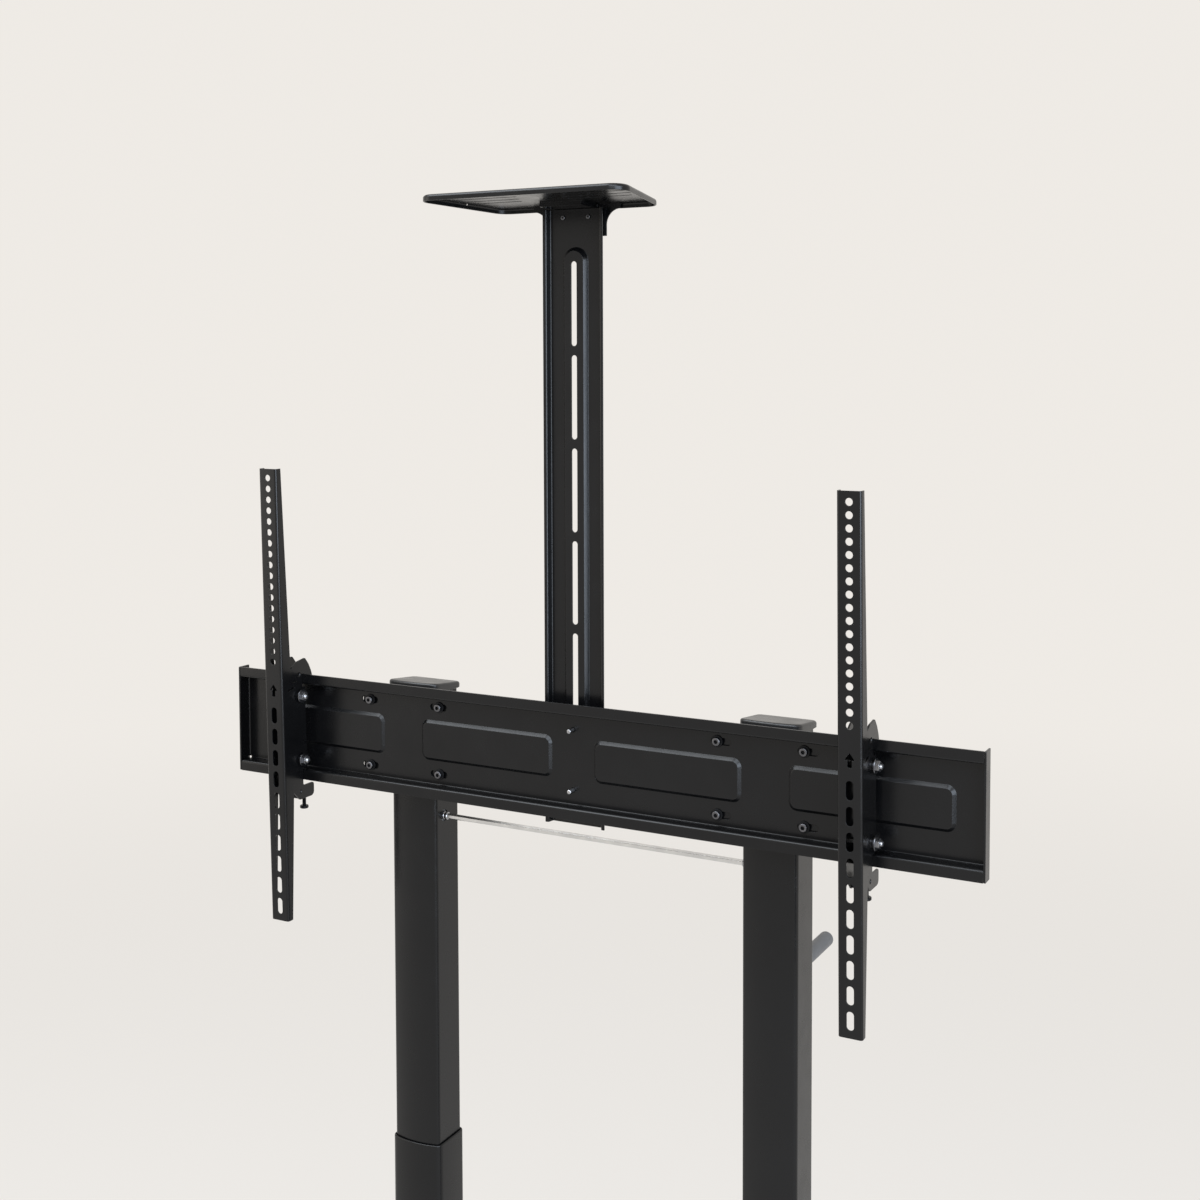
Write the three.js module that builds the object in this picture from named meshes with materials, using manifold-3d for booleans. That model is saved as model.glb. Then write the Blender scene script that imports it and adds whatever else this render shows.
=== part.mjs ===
// Height-adjustable display stand on castors: a wheeled base, two telescopic columns that a hand
// crank raises through a cross rod and lead screws, a wide rail with two sliding and tilting
// display arms, and a slotted mast with a small shelf. Millimetres, +Z up, the front faces -Y,
// and the origin lies on the floor under the middle of the stand.
import * as THREE from 'three';
import { mergeVertices } from 'three/addons/utils/BufferGeometryUtils.js';
import Module from 'manifold-3d';

const wasm = await Module();
wasm.setup();

// Clearances and the overrun of every cut
const seatGap = 0.3;
const runningGap = 0.4;
const overrun = 1;

// Facets of round stretches
const holeFacets = 12;
const shaftFacets = 16;
const wheelFacets = 24;
const cornerFacets = 3;

// Base
const base = {
  beamSpacing: 860,
  beamLength: 680,
  beamWidth: 60,
  beamHeight: 40,
  wall: 2.5,
  crossWidth: 90,
  capThickness: 3,
  plugLength: 14,
  plateWidth: 120,
  plateDepth: 100,
  plateThickness: 6,
};

// Castors
const castor = {
  wheelDiameter: 75,
  treadWidth: 24,
  hubWidth: 26,
  hubRadius: 12,
  webWidth: 10,
  rimRadius: 27,
  treadRound: 4,
  trail: 28,
  inset: 70,
  plateSize: 54,
  plateThickness: 4,
  bossRadius: 14,
  bossHeight: 10.7,
  pinRadius: 5,
  rivetRadius: 8,
  rivetHeight: 3,
  crownThickness: 5,
  crownClearance: 5,
  forkWall: 2.5,
  axleRadius: 4,
};

// Telescopic columns
const column = {
  spacing: 530,
  innerWidth: 73.2,
  innerDepth: 56,
  bulge: 6,
  cornerRadius: 5,
  wall: 2,
  outerLength: 714,
  outerWall: 1.8,
  outerGap: 1.5,
  exposed: 500,
  overlap: 190,
  topDrop: 17.3,
  sleeveHeight: 38,
  sleeveRecess: 1.5,
};
const cap = {
  overhang: 4.2,
  skirtHeight: 14,
  rearDrop: 8,
  edgeRound: 2,
  crown: 1.5,
  plugLength: 16,
};

// Lifting drive
const drive = {
  drop: 40,
  forward: 8,
  rodRadius: 4,
  collarRadius: 5.6,
  collarLength: 26,
  socketRadius: 8,
  pinionNear: 8,
  pinionFar: 14,
  pinionFarRadius: 9.3,
  screwRadius: 6,
  screwLength: 540,
  housingHeight: 52,
  housingWall: 3.4,
  nutHeight: 30,
  nutTopAboveRim: 20,
  nutFlangeRadius: 18,
  nutFlangeHeight: 6,
  nutHubRadius: 13,
  postRadius: 18,
  postWall: 3,
};
const crank = {
  shaftRadius: 5,
  hubRadius: 9,
  hubLength: 16,
  armRadius: 150,
  armWidth: 22,
  armThickness: 6,
  armBehindColumn: 38,
  gripRadius: 10,
  gripLength: 104,
  gripRound: 4,
  pinRadius: 4,
  pinShort: 8,
};

// Rail
const rail = {
  length: 1084,
  height: 150,
  lipHeight: 15,
  depth: 18.5,
  thickness: 2.5,
  frontToColumnAxis: 67,
  tabGap: 1,
  reliefRadius: 3,
  padWidth: 207,
  padHeight: 57,
  padCorner: 11,
  padRise: 3.5,
  padPitch: 267,
  padCount: 4,
  slotLength: 27,
  slotHeight: 9,
  slotShift: 0.9,
};
const railBracket = {
  boltSpacingX: 114,
  boltSpacingZ: 91.6,
  margin: 14,
  thickness: 4,
  cheekThickness: 3,
  cheekDepth: 60,
  boltRadius: 3.8,
  washerRadius: 7.6,
  washerThickness: 1.5,
  headRadius: 5.2,
  headHeight: 3.5,
  rightBoltShift: 4,
};

// Mast
const mast = {
  width: 87.2,
  height: 795.5,
  bottomBelowRail: 14,
  lipWidth: 5,
  depth: 9.5,
  thickness: 2,
  wallSlope: 1.5,
  stripWidth: 26.4,
  stripSlope: 2.3,
  stripMargin: 13,
  slotWidth: 8,
  slotLength: 107.8,
  slotPitch: 119.5,
  slotCount: 6,
  topSlotDrop: 66.7,
  studSpacing: 78.8,
  screwSpacing: 37,
  screwDrop: 10.5,
  screwRadius: 2.2,
};
const clamp = {
  width: 60,
  height: 110,
  thickness: 3,
  studRadius: 3,
  studHeadRadius: 4.6,
  studHeadHeight: 4,
  studDrop: 1.6,
};

// Shelf
const shelf = {
  frontWidth: 294.5,
  backWidth: 230,
  depth: 154.7,
  fall: 5.4,
  backBehindMast: 6.2,
  sideCornerRadius: 20,
  thickness: 2,
  rimHeight: 8,
  slotCount: 4,
  slotLength: 90,
  slotWidth: 3.6,
  slotPitch: 19.5,
  slotStagger: 8,
  slotInset: 78,
  slotFront: 30.7,
  tabWidth: 80,
  tabHeight: 42,
  tabFlare: 20,
  seatWidth: 60,
  seatDepth: 44,
  seatHeight: 4.1,
};

// Display arms and the brackets that hang them on the rail
const arm = {
  leftX: -438.5,
  rightX: 397.5,
  faceToRail: 44.3,
  width: 30,
  thickness: 2,
  holeCount: 18,
  holePitch: 15,
  holeDiameter: 9,
  topMargin: 12.6,
  bottomMargin: 20.6,
  slotCount: 10,
  slotPitch: 30,
  slotWidth: 9,
  slotLength: 22.5,
  slotStart: 330,
  arrowPlace: 300,
  arrowHeight: 16,
  arrowWidth: 10,
  arrowStem: 4,
  arrowRaise: 5,
  middleAboveRail: 55,
  endDepth: 10,
  middleDepth: 22,
  wingBack: 46.5,
  wingTop: 112,
  wingBottom: 13.5,
  wingShoulder: 101.5,
  wingShoulderBack: 41,
  wingRound: 8,
  guideSlotRadius: 104,
  guideSlotWidth: 3,
  guideSlotDegrees: [97, 104.5],
  restTiltDegrees: 1.3,
  greatestTiltDegrees: 12,
};
const pivot = {
  behindFace: 38.5,
  belowRailMiddle: 44.5,
  lockRadius: 90.5,
};
const hook = {
  plateGap: 0.5,
  plateThickness: 2.4,
  frontInset: 10.8,
  footInset: 19.3,
  footTop: 35,
  footCut: 17,
  bottomDrop: 27,
  tailTop: 8,
  tailBack: 67,
  earTip: 50.5,
  earHeight: 22,
  fingerBack: 66,
  fingerDrop: 11,
  crossThickness: 3,
  crossLow: 12,
  crossHigh: 80,
};
const bolt = {
  shankRadius: 3.8,
  headRadius: 6.5,
  headHeight: 5,
  nutRadius: 6.5,
  nutHeight: 5,
  endRadius: 3.8,
  endLength: 3.5,
};
const safetyScrew = {
  radius: 2.8,
  headRadius: 6,
  headHeight: 4,
  headBelowFoot: 19,
  aboveFoot: 12,
  behindFace: 60,
};

// Places worked out from the sizes above
const crownBottom = castor.wheelDiameter + castor.crownClearance;
const crownTop = crownBottom + castor.crownThickness;
const bossBottom = crownTop + seatGap;
const beamBottom = bossBottom + castor.bossHeight + castor.plateThickness;
const beamTop = beamBottom + base.beamHeight;
const outerBottom = beamTop + base.plateThickness;
const outerTop = outerBottom + column.outerLength;
const railMiddle = outerTop + column.exposed + rail.height / 2;
const columnX = column.spacing / 2;
const beamX = base.beamSpacing / 2;
const railFront = -rail.frontToColumnAxis;
const webFront = railFront + rail.depth;
const webBack = webFront + rail.thickness;
const innerTop = rail.height / 2 - column.topDrop;
const innerBottom = -rail.height / 2 - column.exposed - column.overlap;
const driveZ = -rail.height / 2 - drive.drop;
const driveY = -drive.forward;
const outerGrow = column.outerGap + column.outerWall;
const columnBack = column.innerDepth / 2;

// Colours and finishes
const finish = (color, roughness, metalness) =>
  new THREE.MeshStandardMaterial({ color, roughness, metalness, flatShading: true });
const blackSteel = finish(0x1c1d1f, 0.5, 0.35);
const blackPlastic = finish(0x18191b, 0.6, 0);
const brightSteel = finish(0xb9bbbe, 0.3, 1);
const greyPlastic = finish(0x5d5e61, 0.55, 0);
const greyRubber = finish(0x2b2b2d, 0.8, 0);
const paleNylon = finish(0xcfcdc6, 0.6, 0);

// Solids
function solid(geometry) {
  const bare = geometry.clone();
  bare.deleteAttribute('normal');
  bare.deleteAttribute('uv');
  const merged = mergeVertices(bare, 1e-4);
  const places = merged.attributes.position;
  const corners = Array.from(merged.index.array);
  const a = new THREE.Vector3();
  const b = new THREE.Vector3();
  const c = new THREE.Vector3();
  const kept = [];
  let volume = 0;
  for (let i = 0; i < corners.length; i += 3) {
    const [p, q, r] = corners.slice(i, i + 3);
    if (p !== q && q !== r && r !== p) {
      a.fromBufferAttribute(places, p);
      b.fromBufferAttribute(places, q);
      c.fromBufferAttribute(places, r);
      volume += a.dot(b.cross(c));
      kept.push(p, q, r);
    }
  }
  if (volume < 0) kept.reverse();
  return new wasm.Manifold(
    new wasm.Mesh({
      numProp: 3,
      vertProperties: new Float32Array(places.array),
      triVerts: new Uint32Array(kept),
    }),
  );
}
const join = (...bodies) => bodies.reduce((whole, body) => whole.add(body));
const cut = (body, ...tools) => tools.reduce((rest, tool) => rest.subtract(tool), body);

function geometryOf(body) {
  const mesh = body.getMesh();
  const geometry = new THREE.BufferGeometry();
  geometry.setAttribute('position', new THREE.BufferAttribute(mesh.vertProperties, 3));
  geometry.setIndex(new THREE.BufferAttribute(mesh.triVerts, 1));
  geometry.computeVertexNormals();
  return geometry;
}
function piece(name, body, material) {
  const mesh = new THREE.Mesh(geometryOf(body), material);
  mesh.name = name;
  return mesh;
}
function groupAt(x, y, z, ...children) {
  const group = new THREE.Group();
  group.position.set(x, y, z);
  if (children.length) group.add(...children);
  return group;
}

function boxBetween(low, high) {
  const size = high.map((value, i) => value - low[i]);
  const box = new THREE.BoxGeometry(...size);
  box.translate(...high.map((value, i) => (value + low[i]) / 2));
  return solid(box);
}
// A drum from one end to the other along x, y or z; a second radius makes it a cone
function drum(axis, radius, from, to, centre, facets = shaftFacets, endRadius = radius) {
  const shape = new THREE.CylinderGeometry(endRadius, radius, to - from, facets);
  if (axis === 'x') shape.rotateZ(-Math.PI / 2);
  if (axis === 'z') shape.rotateX(Math.PI / 2);
  const middle = (from + to) / 2;
  const [u, v] = centre;
  if (axis === 'x') shape.translate(middle, u, v);
  if (axis === 'y') shape.translate(u, middle, v);
  if (axis === 'z') shape.translate(u, v, middle);
  return solid(shape);
}
const outlineOf = (points) => new THREE.Shape(points.map(([u, v]) => new THREE.Vector2(u, v)));
// A plan outline raised along z, a front outline taken back along y, a side outline run along x
function raised(shape, low, high) {
  const body = new THREE.ExtrudeGeometry(shape, { depth: high - low, bevelEnabled: false });
  body.translate(0, 0, low);
  return solid(body);
}
const frontBasis = new THREE.Matrix4().makeBasis(
  new THREE.Vector3(1, 0, 0),
  new THREE.Vector3(0, 0, 1),
  new THREE.Vector3(0, -1, 0),
);
function facing(shape, front, back) {
  const body = new THREE.ExtrudeGeometry(shape, { depth: back - front, bevelEnabled: false });
  body.applyMatrix4(frontBasis);
  body.translate(0, back, 0);
  return solid(body);
}
const sideBasis = new THREE.Matrix4().makeBasis(
  new THREE.Vector3(0, 1, 0),
  new THREE.Vector3(0, 0, 1),
  new THREE.Vector3(1, 0, 0),
);
function across(shape, low, high) {
  const body = new THREE.ExtrudeGeometry(shape, { depth: high - low, bevelEnabled: false });
  body.applyMatrix4(sideBasis);
  body.translate(low, 0, 0);
  return solid(body);
}
function arcPoints(u, v, radius, start, end, steps) {
  const points = [];
  for (let i = 0; i <= steps; i += 1) {
    const angle = start + ((end - start) * i) / steps;
    points.push([u + radius * Math.cos(angle), v + radius * Math.sin(angle)]);
  }
  return points;
}
function roundedRectangle(width, height, radius, u = 0, v = 0, steps = cornerFacets) {
  const right = u + width / 2 - radius;
  const left = u - width / 2 + radius;
  const top = v + height / 2 - radius;
  const bottom = v - height / 2 + radius;
  const quarter = Math.PI / 2;
  return outlineOf([
    ...arcPoints(right, top, radius, 0, quarter, steps),
    ...arcPoints(left, top, radius, quarter, 2 * quarter, steps),
    ...arcPoints(left, bottom, radius, 2 * quarter, 3 * quarter, steps),
    ...arcPoints(right, bottom, radius, 3 * quarter, 4 * quarter, steps),
  ]);
}
// A slot with round ends; it lies along the first direction, or stands along the second
function slotOutline(length, width, u, v, standing = false) {
  const radius = width / 2;
  const reach = length / 2 - radius;
  const half = Math.PI;
  const steps = holeFacets / 2;
  const ends = standing
    ? [
        ...arcPoints(u, v + reach, radius, 0, half, steps),
        ...arcPoints(u, v - reach, radius, half, 2 * half, steps),
      ]
    : [
        ...arcPoints(u + reach, v, radius, -half / 2, half / 2, steps),
        ...arcPoints(u - reach, v, radius, half / 2, (3 * half) / 2, steps),
      ];
  return outlineOf(ends);
}
// The closed outline of a bent sheet: its front line and the same line set back by its thickness
function sheetOutline(line, thickness) {
  const back = line.map(([u, v], i) => {
    const before = line[Math.max(i - 1, 0)];
    const after = line[Math.min(i + 1, line.length - 1)];
    const into = i > 0 ? unit(u - before[0], v - before[1]) : unit(after[0] - u, after[1] - v);
    const out = i < line.length - 1 ? unit(after[0] - u, after[1] - v) : into;
    const mitre = thickness / (1 + into[0] * out[0] + into[1] * out[1]);
    return [u - (into[1] + out[1]) * mitre, v + (into[0] + out[0]) * mitre];
  });
  return outlineOf([...line, ...back.reverse()]);
}
function unit(u, v) {
  const length = Math.hypot(u, v);
  return [u / length, v / length];
}

// Column section: flat back and sides and a bowed front, grown outwards by an even amount
function columnPoints(grow) {
  const halfWidth = column.innerWidth / 2;
  const bow = (halfWidth ** 2 + column.bulge ** 2) / (2 * column.bulge) + grow;
  const side = halfWidth + grow;
  const back = column.innerDepth / 2 + grow;
  const front = -(column.innerDepth / 2 + column.bulge + grow);
  const frontAt = (x) => front + bow - Math.sqrt(bow ** 2 - x ** 2);
  const radius = Math.max(column.cornerRadius + grow, column.wall / 2);
  const shoulder = side - radius;
  const quarter = Math.PI / 2;
  const corner = frontAt(side);
  const bend = (t) => [
    (1 - t) ** 2 * shoulder + 2 * t * (1 - t) * side + t ** 2 * side,
    (1 - t) ** 2 * frontAt(shoulder) + 2 * t * (1 - t) * corner + t ** 2 * (corner + radius),
  ];
  const bendRight = [];
  for (let i = 0; i <= cornerFacets; i += 1) bendRight.push(bend(i / cornerFacets));
  const bowed = [];
  const bowFacets = 2 * cornerFacets;
  for (let i = 1; i < bowFacets; i += 1) {
    const x = -shoulder + (2 * shoulder * i) / bowFacets;
    bowed.push([x, frontAt(x)]);
  }
  const bendLeft = bendRight.map(([x, y]) => [-x, y]).reverse();
  return [
    ...bendRight,
    ...arcPoints(side - radius, back - radius, radius, 0, quarter, cornerFacets),
    ...arcPoints(radius - side, back - radius, radius, quarter, 2 * quarter, cornerFacets),
    ...bendLeft,
    ...bowed,
  ];
}
const columnOutline = (grow) => outlineOf(columnPoints(grow));
const columnShell = (grow, wall, low, high) =>
  cut(
    raised(columnOutline(grow), low, high),
    raised(columnOutline(grow - wall), low - overrun, high + overrun),
  );
// A closed skin over rings of equal point count, each a list of [x, y, z]
function lofted(rings) {
  const count = rings[0].length;
  const places = rings.flat(2);
  const faces = [];
  for (let ring = 0; ring < rings.length - 1; ring += 1) {
    for (let i = 0; i < count; i += 1) {
      const a = ring * count + i;
      const b = ring * count + ((i + 1) % count);
      faces.push(a, b, b + count, a, b + count, a + count);
    }
  }
  const last = (rings.length - 1) * count;
  for (let i = 1; i < count - 1; i += 1) {
    faces.push(0, i + 1, i);
    faces.push(last, last + i, last + i + 1);
  }
  const skin = new THREE.BufferGeometry();
  skin.setAttribute('position', new THREE.BufferAttribute(new Float32Array(places), 3));
  skin.setIndex(faces);
  return solid(skin);
}

// Base beams, end caps, cross beam and column plates
function hollowBeam(width, height, low, high, axis) {
  const outer = axis === 'y' ? [width, high - low] : [high - low, width];
  const from = [-outer[0] / 2, -outer[1] / 2, beamBottom];
  const to = [outer[0] / 2, outer[1] / 2, beamBottom + height];
  const hollowLow = from.map((value) => value + base.wall);
  const hollowHigh = to.map((value) => value - base.wall);
  const along = axis === 'y' ? 1 : 0;
  hollowLow[along] = from[along] - overrun;
  hollowHigh[along] = to[along] + overrun;
  return cut(boxBetween(from, to), boxBetween(hollowLow, hollowHigh));
}
function footBeam(side) {
  const halfLength = base.beamLength / 2 - base.capThickness;
  const body = hollowBeam(base.beamWidth, base.beamHeight, -halfLength, halfLength, 'y');
  return piece(`${side}_foot_beam`, body, blackSteel);
}
function beamCap(side, end) {
  const outward = end === 'front' ? -1 : 1;
  const seat = base.beamLength / 2 - base.capThickness;
  const halfWidth = base.beamWidth / 2;
  const inset = base.wall + seatGap;
  const span = (a, b) => [Math.min(outward * a, outward * b), Math.max(outward * a, outward * b)];
  const [plateLow, plateHigh] = span(seat, base.beamLength / 2);
  const [plugLow, plugHigh] = span(seat - base.plugLength, seat + base.capThickness / 2);
  const body = join(
    boxBetween([-halfWidth, plateLow, beamBottom], [halfWidth, plateHigh, beamTop]),
    boxBetween(
      [-halfWidth + inset, plugLow, beamBottom + inset],
      [halfWidth - inset, plugHigh, beamTop - inset],
    ),
  );
  return piece(`${side}_${end}_beam_cap`, body, blackPlastic);
}
function crossBeam() {
  const reach = beamX - base.beamWidth / 2;
  return piece(
    'cross_beam',
    hollowBeam(base.crossWidth, base.beamHeight, -reach, reach, 'x'),
    blackSteel,
  );
}
function columnPlate(side) {
  const body = raised(
    roundedRectangle(base.plateWidth, base.plateDepth, column.cornerRadius),
    beamTop,
    outerBottom,
  );
  return piece(`${side}_column_plate`, body, blackSteel);
}

// Castors: the fixed mount, the swivelling fork with its axle, and the wheel
const wheelRadius = castor.wheelDiameter / 2;
function castorMount(name) {
  const half = castor.plateSize / 2;
  const plateBottom = beamBottom - castor.plateThickness;
  const pinBottom = crownBottom - seatGap;
  const centre = [0, 0];
  return piece(
    `${name}_castor_mount`,
    join(
      boxBetween([-half, -half, plateBottom], [half, half, beamBottom]),
      drum('z', castor.bossRadius, bossBottom, plateBottom + overrun, centre),
      drum('z', castor.pinRadius, pinBottom - overrun, bossBottom + overrun, centre),
      drum('z', castor.rivetRadius, pinBottom - castor.rivetHeight, pinBottom, centre),
    ),
    brightSteel,
  );
}
function castorFork(name) {
  const inner = castor.hubWidth / 2 + runningGap;
  const outer = inner + castor.forkWall;
  const cheekFootShares = [-0.5, 0.7, 1.3, 1.5];
  const [nearShare, lowShare, farShare, tipShare] = cheekFootShares;
  const low = wheelRadius - castor.hubRadius;
  const cheek = outlineOf([
    [castor.trail * nearShare, crownTop],
    [castor.trail * nearShare, crownBottom],
    [castor.trail * lowShare, low],
    [castor.trail * farShare, low],
    [castor.trail * tipShare, wheelRadius],
    [castor.trail * farShare, crownTop],
  ]);
  const crown = boxBetween(
    [-outer, castor.trail * nearShare, crownBottom],
    [outer, castor.trail * farShare, crownTop],
  );
  const body = cut(
    join(
      across(cheek, inner, outer),
      across(cheek, -outer, -inner),
      crown,
      drum('x', castor.axleRadius, -outer, outer, [castor.trail, wheelRadius]),
    ),
    drum(
      'z',
      castor.pinRadius + runningGap,
      crownBottom - overrun,
      crownTop + overrun,
      [0, 0],
    ),
  );
  return piece(`${name}_castor_fork`, body, brightSteel);
}
function castorWheel(name) {
  const bore = castor.axleRadius + runningGap;
  const hub = castor.hubWidth / 2;
  const web = castor.webWidth / 2;
  const tread = castor.treadWidth / 2;
  const shoulder = wheelRadius - castor.treadRound;
  const profile = [
    [bore, -hub],
    [castor.hubRadius, -hub],
    [castor.hubRadius, -web],
    [castor.rimRadius, -web],
    [castor.rimRadius, -tread],
    [shoulder, -tread],
    [wheelRadius, castor.treadRound - tread],
    [wheelRadius, tread - castor.treadRound],
    [shoulder, tread],
    [castor.rimRadius, tread],
    [castor.rimRadius, web],
    [castor.hubRadius, web],
    [castor.hubRadius, hub],
    [bore, hub],
    [bore, -hub],
  ];
  const turned = new THREE.LatheGeometry(
    profile.map(([r, along]) => new THREE.Vector2(r, along)),
    wheelFacets,
  );
  turned.rotateZ(Math.PI / 2);
  turned.translate(0, castor.trail, wheelRadius);
  return piece(`${name}_castor_wheel`, solid(turned), greyRubber);
}
function castorSet(side, end) {
  const x = side === 'left' ? -beamX : beamX;
  const y = (end === 'front' ? -1 : 1) * (base.beamLength / 2 - castor.inset);
  const name = `${side}_${end}`;
  return groupAt(x, y, 0, castorMount(name), castorFork(name), castorWheel(name));
}

// Fixed part of each column: outer tube, glide sleeve, nut post and nut
const nutTop = outerTop + drive.nutTopAboveRim;
function outerColumn(side) {
  const shell = columnShell(outerGrow, column.outerWall, outerBottom, outerTop);
  return piece(`${side}_outer_column`, shell, blackSteel);
}
function glideSleeve(side) {
  const top = outerTop - column.sleeveRecess;
  const grow = column.outerGap - seatGap;
  const shell = columnShell(grow, grow - seatGap, top - column.sleeveHeight, top);
  return piece(`${side}_glide_sleeve`, shell, blackPlastic);
}
function nutPost(side) {
  const top = nutTop - drive.nutHeight;
  const centre = [0, driveY];
  const body = cut(
    drum('z', drive.postRadius, outerBottom, top, centre),
    drum('z', drive.postRadius - drive.postWall, outerBottom - overrun, top + overrun, centre),
  );
  return piece(`${side}_nut_post`, body, brightSteel);
}
function liftNut(side) {
  const low = nutTop - drive.nutHeight;
  const centre = [0, driveY];
  const body = cut(
    join(
      drum('z', drive.nutFlangeRadius, low, low + drive.nutFlangeHeight, centre),
      drum('z', drive.nutHubRadius, low - drive.nutFlangeHeight, nutTop, centre),
    ),
    drum(
      'z',
      drive.screwRadius + runningGap,
      low - drive.nutHeight,
      nutTop + overrun,
      centre,
    ),
  );
  return piece(`${side}_lift_nut`, body, paleNylon);
}

// Lifting part of each column, measured from the middle of the rail's height
const inwardOf = (side) => (side === 'left' ? 1 : -1);
function innerColumn(side) {
  const inward = inwardOf(side);
  const half = column.innerWidth / 2;
  const sideHole = drum(
    'x',
    drive.socketRadius,
    inward > 0 ? 0 : -half - overrun,
    inward > 0 ? half + overrun : 0,
    [driveY, driveZ],
  );
  let body = cut(columnShell(0, column.wall, innerBottom, innerTop), sideHole);
  if (side === 'right') {
    body = cut(
      body,
      drum('y', drive.socketRadius, 0, columnBack + overrun, [0, driveZ]),
    );
  }
  return piece(`${side}_inner_column`, body, blackSteel);
}
function columnCap(side) {
  const front = -columnBack - column.bulge - cap.overhang;
  const slope = cap.rearDrop / (columnBack + cap.overhang - front);
  const ring = (grow, z, share = 1) =>
    columnPoints(grow).map(([x, y]) => [x * share, y * share, z - slope * (y * share - front)]);
  const bottom = innerTop + seatGap;
  const rim = bottom + cap.skirtHeight;
  const top = rim + cap.edgeRound;
  const domeShares = [0.7, 0.35];
  const rise = (share) => top + cap.crown * (1 - share ** 2);
  const dome = lofted([
    columnPoints(cap.overhang).map(([x, y]) => [x, y, bottom]),
    ring(cap.overhang, rim),
    ring(cap.overhang - cap.edgeRound, top),
    ...domeShares.map((share) => ring(cap.overhang - cap.edgeRound, rise(share), share)),
  ]);
  const plug = raised(
    columnOutline(-column.wall - seatGap),
    innerTop - cap.plugLength,
    bottom + overrun,
  );
  return piece(`${side}_column_cap`, join(dome, plug), blackPlastic);
}
function gearboxHousing(side) {
  const inward = inwardOf(side);
  const halfX = column.innerWidth / 2;
  const halfZ = drive.housingHeight / 2;
  const cavity = drive.pinionFar + drive.housingWall / 2;
  const shell = raised(columnOutline(-column.wall - seatGap), driveZ - halfZ, driveZ + halfZ);
  const room = boxBetween(
    [-cavity, driveY - cavity, driveZ - cavity],
    [cavity, driveY + cavity, driveZ + cavity],
  );
  const rodBore = drum(
    'x',
    drive.collarRadius + runningGap,
    inward > 0 ? 0 : -halfX - overrun,
    inward > 0 ? halfX + overrun : 0,
    [driveY, driveZ],
  );
  const screwBore = drum(
    'z',
    drive.screwRadius + runningGap,
    driveZ - halfZ - overrun,
    driveZ,
    [0, driveY],
  );
  let body = cut(shell, room, rodBore, screwBore);
  if (side === 'right') {
    body = cut(
      body,
      drum('y', crank.shaftRadius + runningGap, driveY, columnBack + overrun, [0, driveZ]),
    );
  }
  return piece(`${side}_gearbox_housing`, body, greyPlastic);
}
// A lead screw hangs from its bevel gear, which is larger than the pinions that it meets
const gearRatio = drive.pinionFar / drive.pinionFarRadius;
function leadScrew(side) {
  const far = drive.pinionFarRadius;
  const near = drive.pinionNear / gearRatio;
  const top = driveZ - near - seatGap;
  const centre = [0, driveY];
  const gearRadius = (along) => along * gearRatio - seatGap;
  return piece(
    `${side}_lead_screw`,
    join(
      drum('z', gearRadius(far), driveZ - far, top, centre, shaftFacets, gearRadius(near)),
      drum('z', drive.screwRadius, top - drive.screwLength, top - seatGap, centre),
    ),
    brightSteel,
  );
}
const pinionRadius = (along) => along / gearRatio - seatGap;
function driveRod() {
  const centre = [driveY, driveZ];
  const farRadius = pinionRadius(drive.pinionFar);
  const nearRadius = pinionRadius(drive.pinionNear);
  const inner = columnX - drive.pinionNear;
  const outer = columnX - drive.pinionFar;
  const wallFace = columnX - column.innerWidth / 2;
  const body = join(
    drum('x', drive.rodRadius, -inner, inner, centre, holeFacets / 2),
    drum('x', nearRadius, -inner, -outer, centre, shaftFacets, farRadius),
    drum('x', farRadius, outer, inner, centre, shaftFacets, nearRadius),
    drum('x', drive.collarRadius, wallFace - drive.collarLength, outer, centre),
    drum('x', drive.collarRadius, -outer, -wallFace, centre),
  );
  return piece('drive_rod', body, brightSteel);
}
const crankArmFront = columnBack + crank.armBehindColumn;
const crankArmBack = crankArmFront + crank.armThickness;
function crankHandle() {
  const centre = [0, driveZ];
  const gripCentre = [0, driveZ - crank.armRadius];
  const near = driveY + drive.pinionNear;
  const far = driveY + drive.pinionFar;
  const pinEnd = crankArmBack + seatGap + crank.gripLength - crank.pinShort;
  const bar = slotOutline(
    crank.armRadius + crank.armWidth,
    crank.armWidth,
    0,
    driveZ - crank.armRadius / 2,
    true,
  );
  const nearRadius = pinionRadius(drive.pinionNear);
  const farRadius = pinionRadius(drive.pinionFar);
  return piece(
    'crank_handle',
    join(
      drum('y', nearRadius, near, far, centre, shaftFacets, farRadius),
      drum('y', crank.shaftRadius, far - overrun, crankArmBack, centre),
      drum('y', crank.hubRadius, crankArmFront - crank.hubLength, crankArmBack, centre),
      facing(bar, crankArmFront, crankArmBack),
      drum('y', crank.pinRadius, crankArmFront, pinEnd, gripCentre),
    ),
    blackSteel,
  );
}
function crankGrip() {
  const low = crankArmBack + seatGap;
  const high = low + crank.gripLength;
  const bore = crank.pinRadius + runningGap;
  const boreEnd = high - crank.pinShort + seatGap;
  const profile = [
    [bore, low],
    [crank.gripRadius, low],
    [crank.gripRadius, high - crank.gripRound],
    [crank.gripRadius - crank.gripRound, high],
    [0, high],
    [0, boreEnd],
    [bore, boreEnd],
    [bore, low],
  ];
  const turned = new THREE.LatheGeometry(
    profile.map(([r, along]) => new THREE.Vector2(r, along)),
    shaftFacets,
  );
  turned.translate(0, 0, driveZ - crank.armRadius);
  return piece('crank_grip', solid(turned), greyPlastic);
}

const studPlaces = [-mast.studSpacing / 2, mast.studSpacing / 2].map((z) => z - clamp.studDrop);

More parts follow.
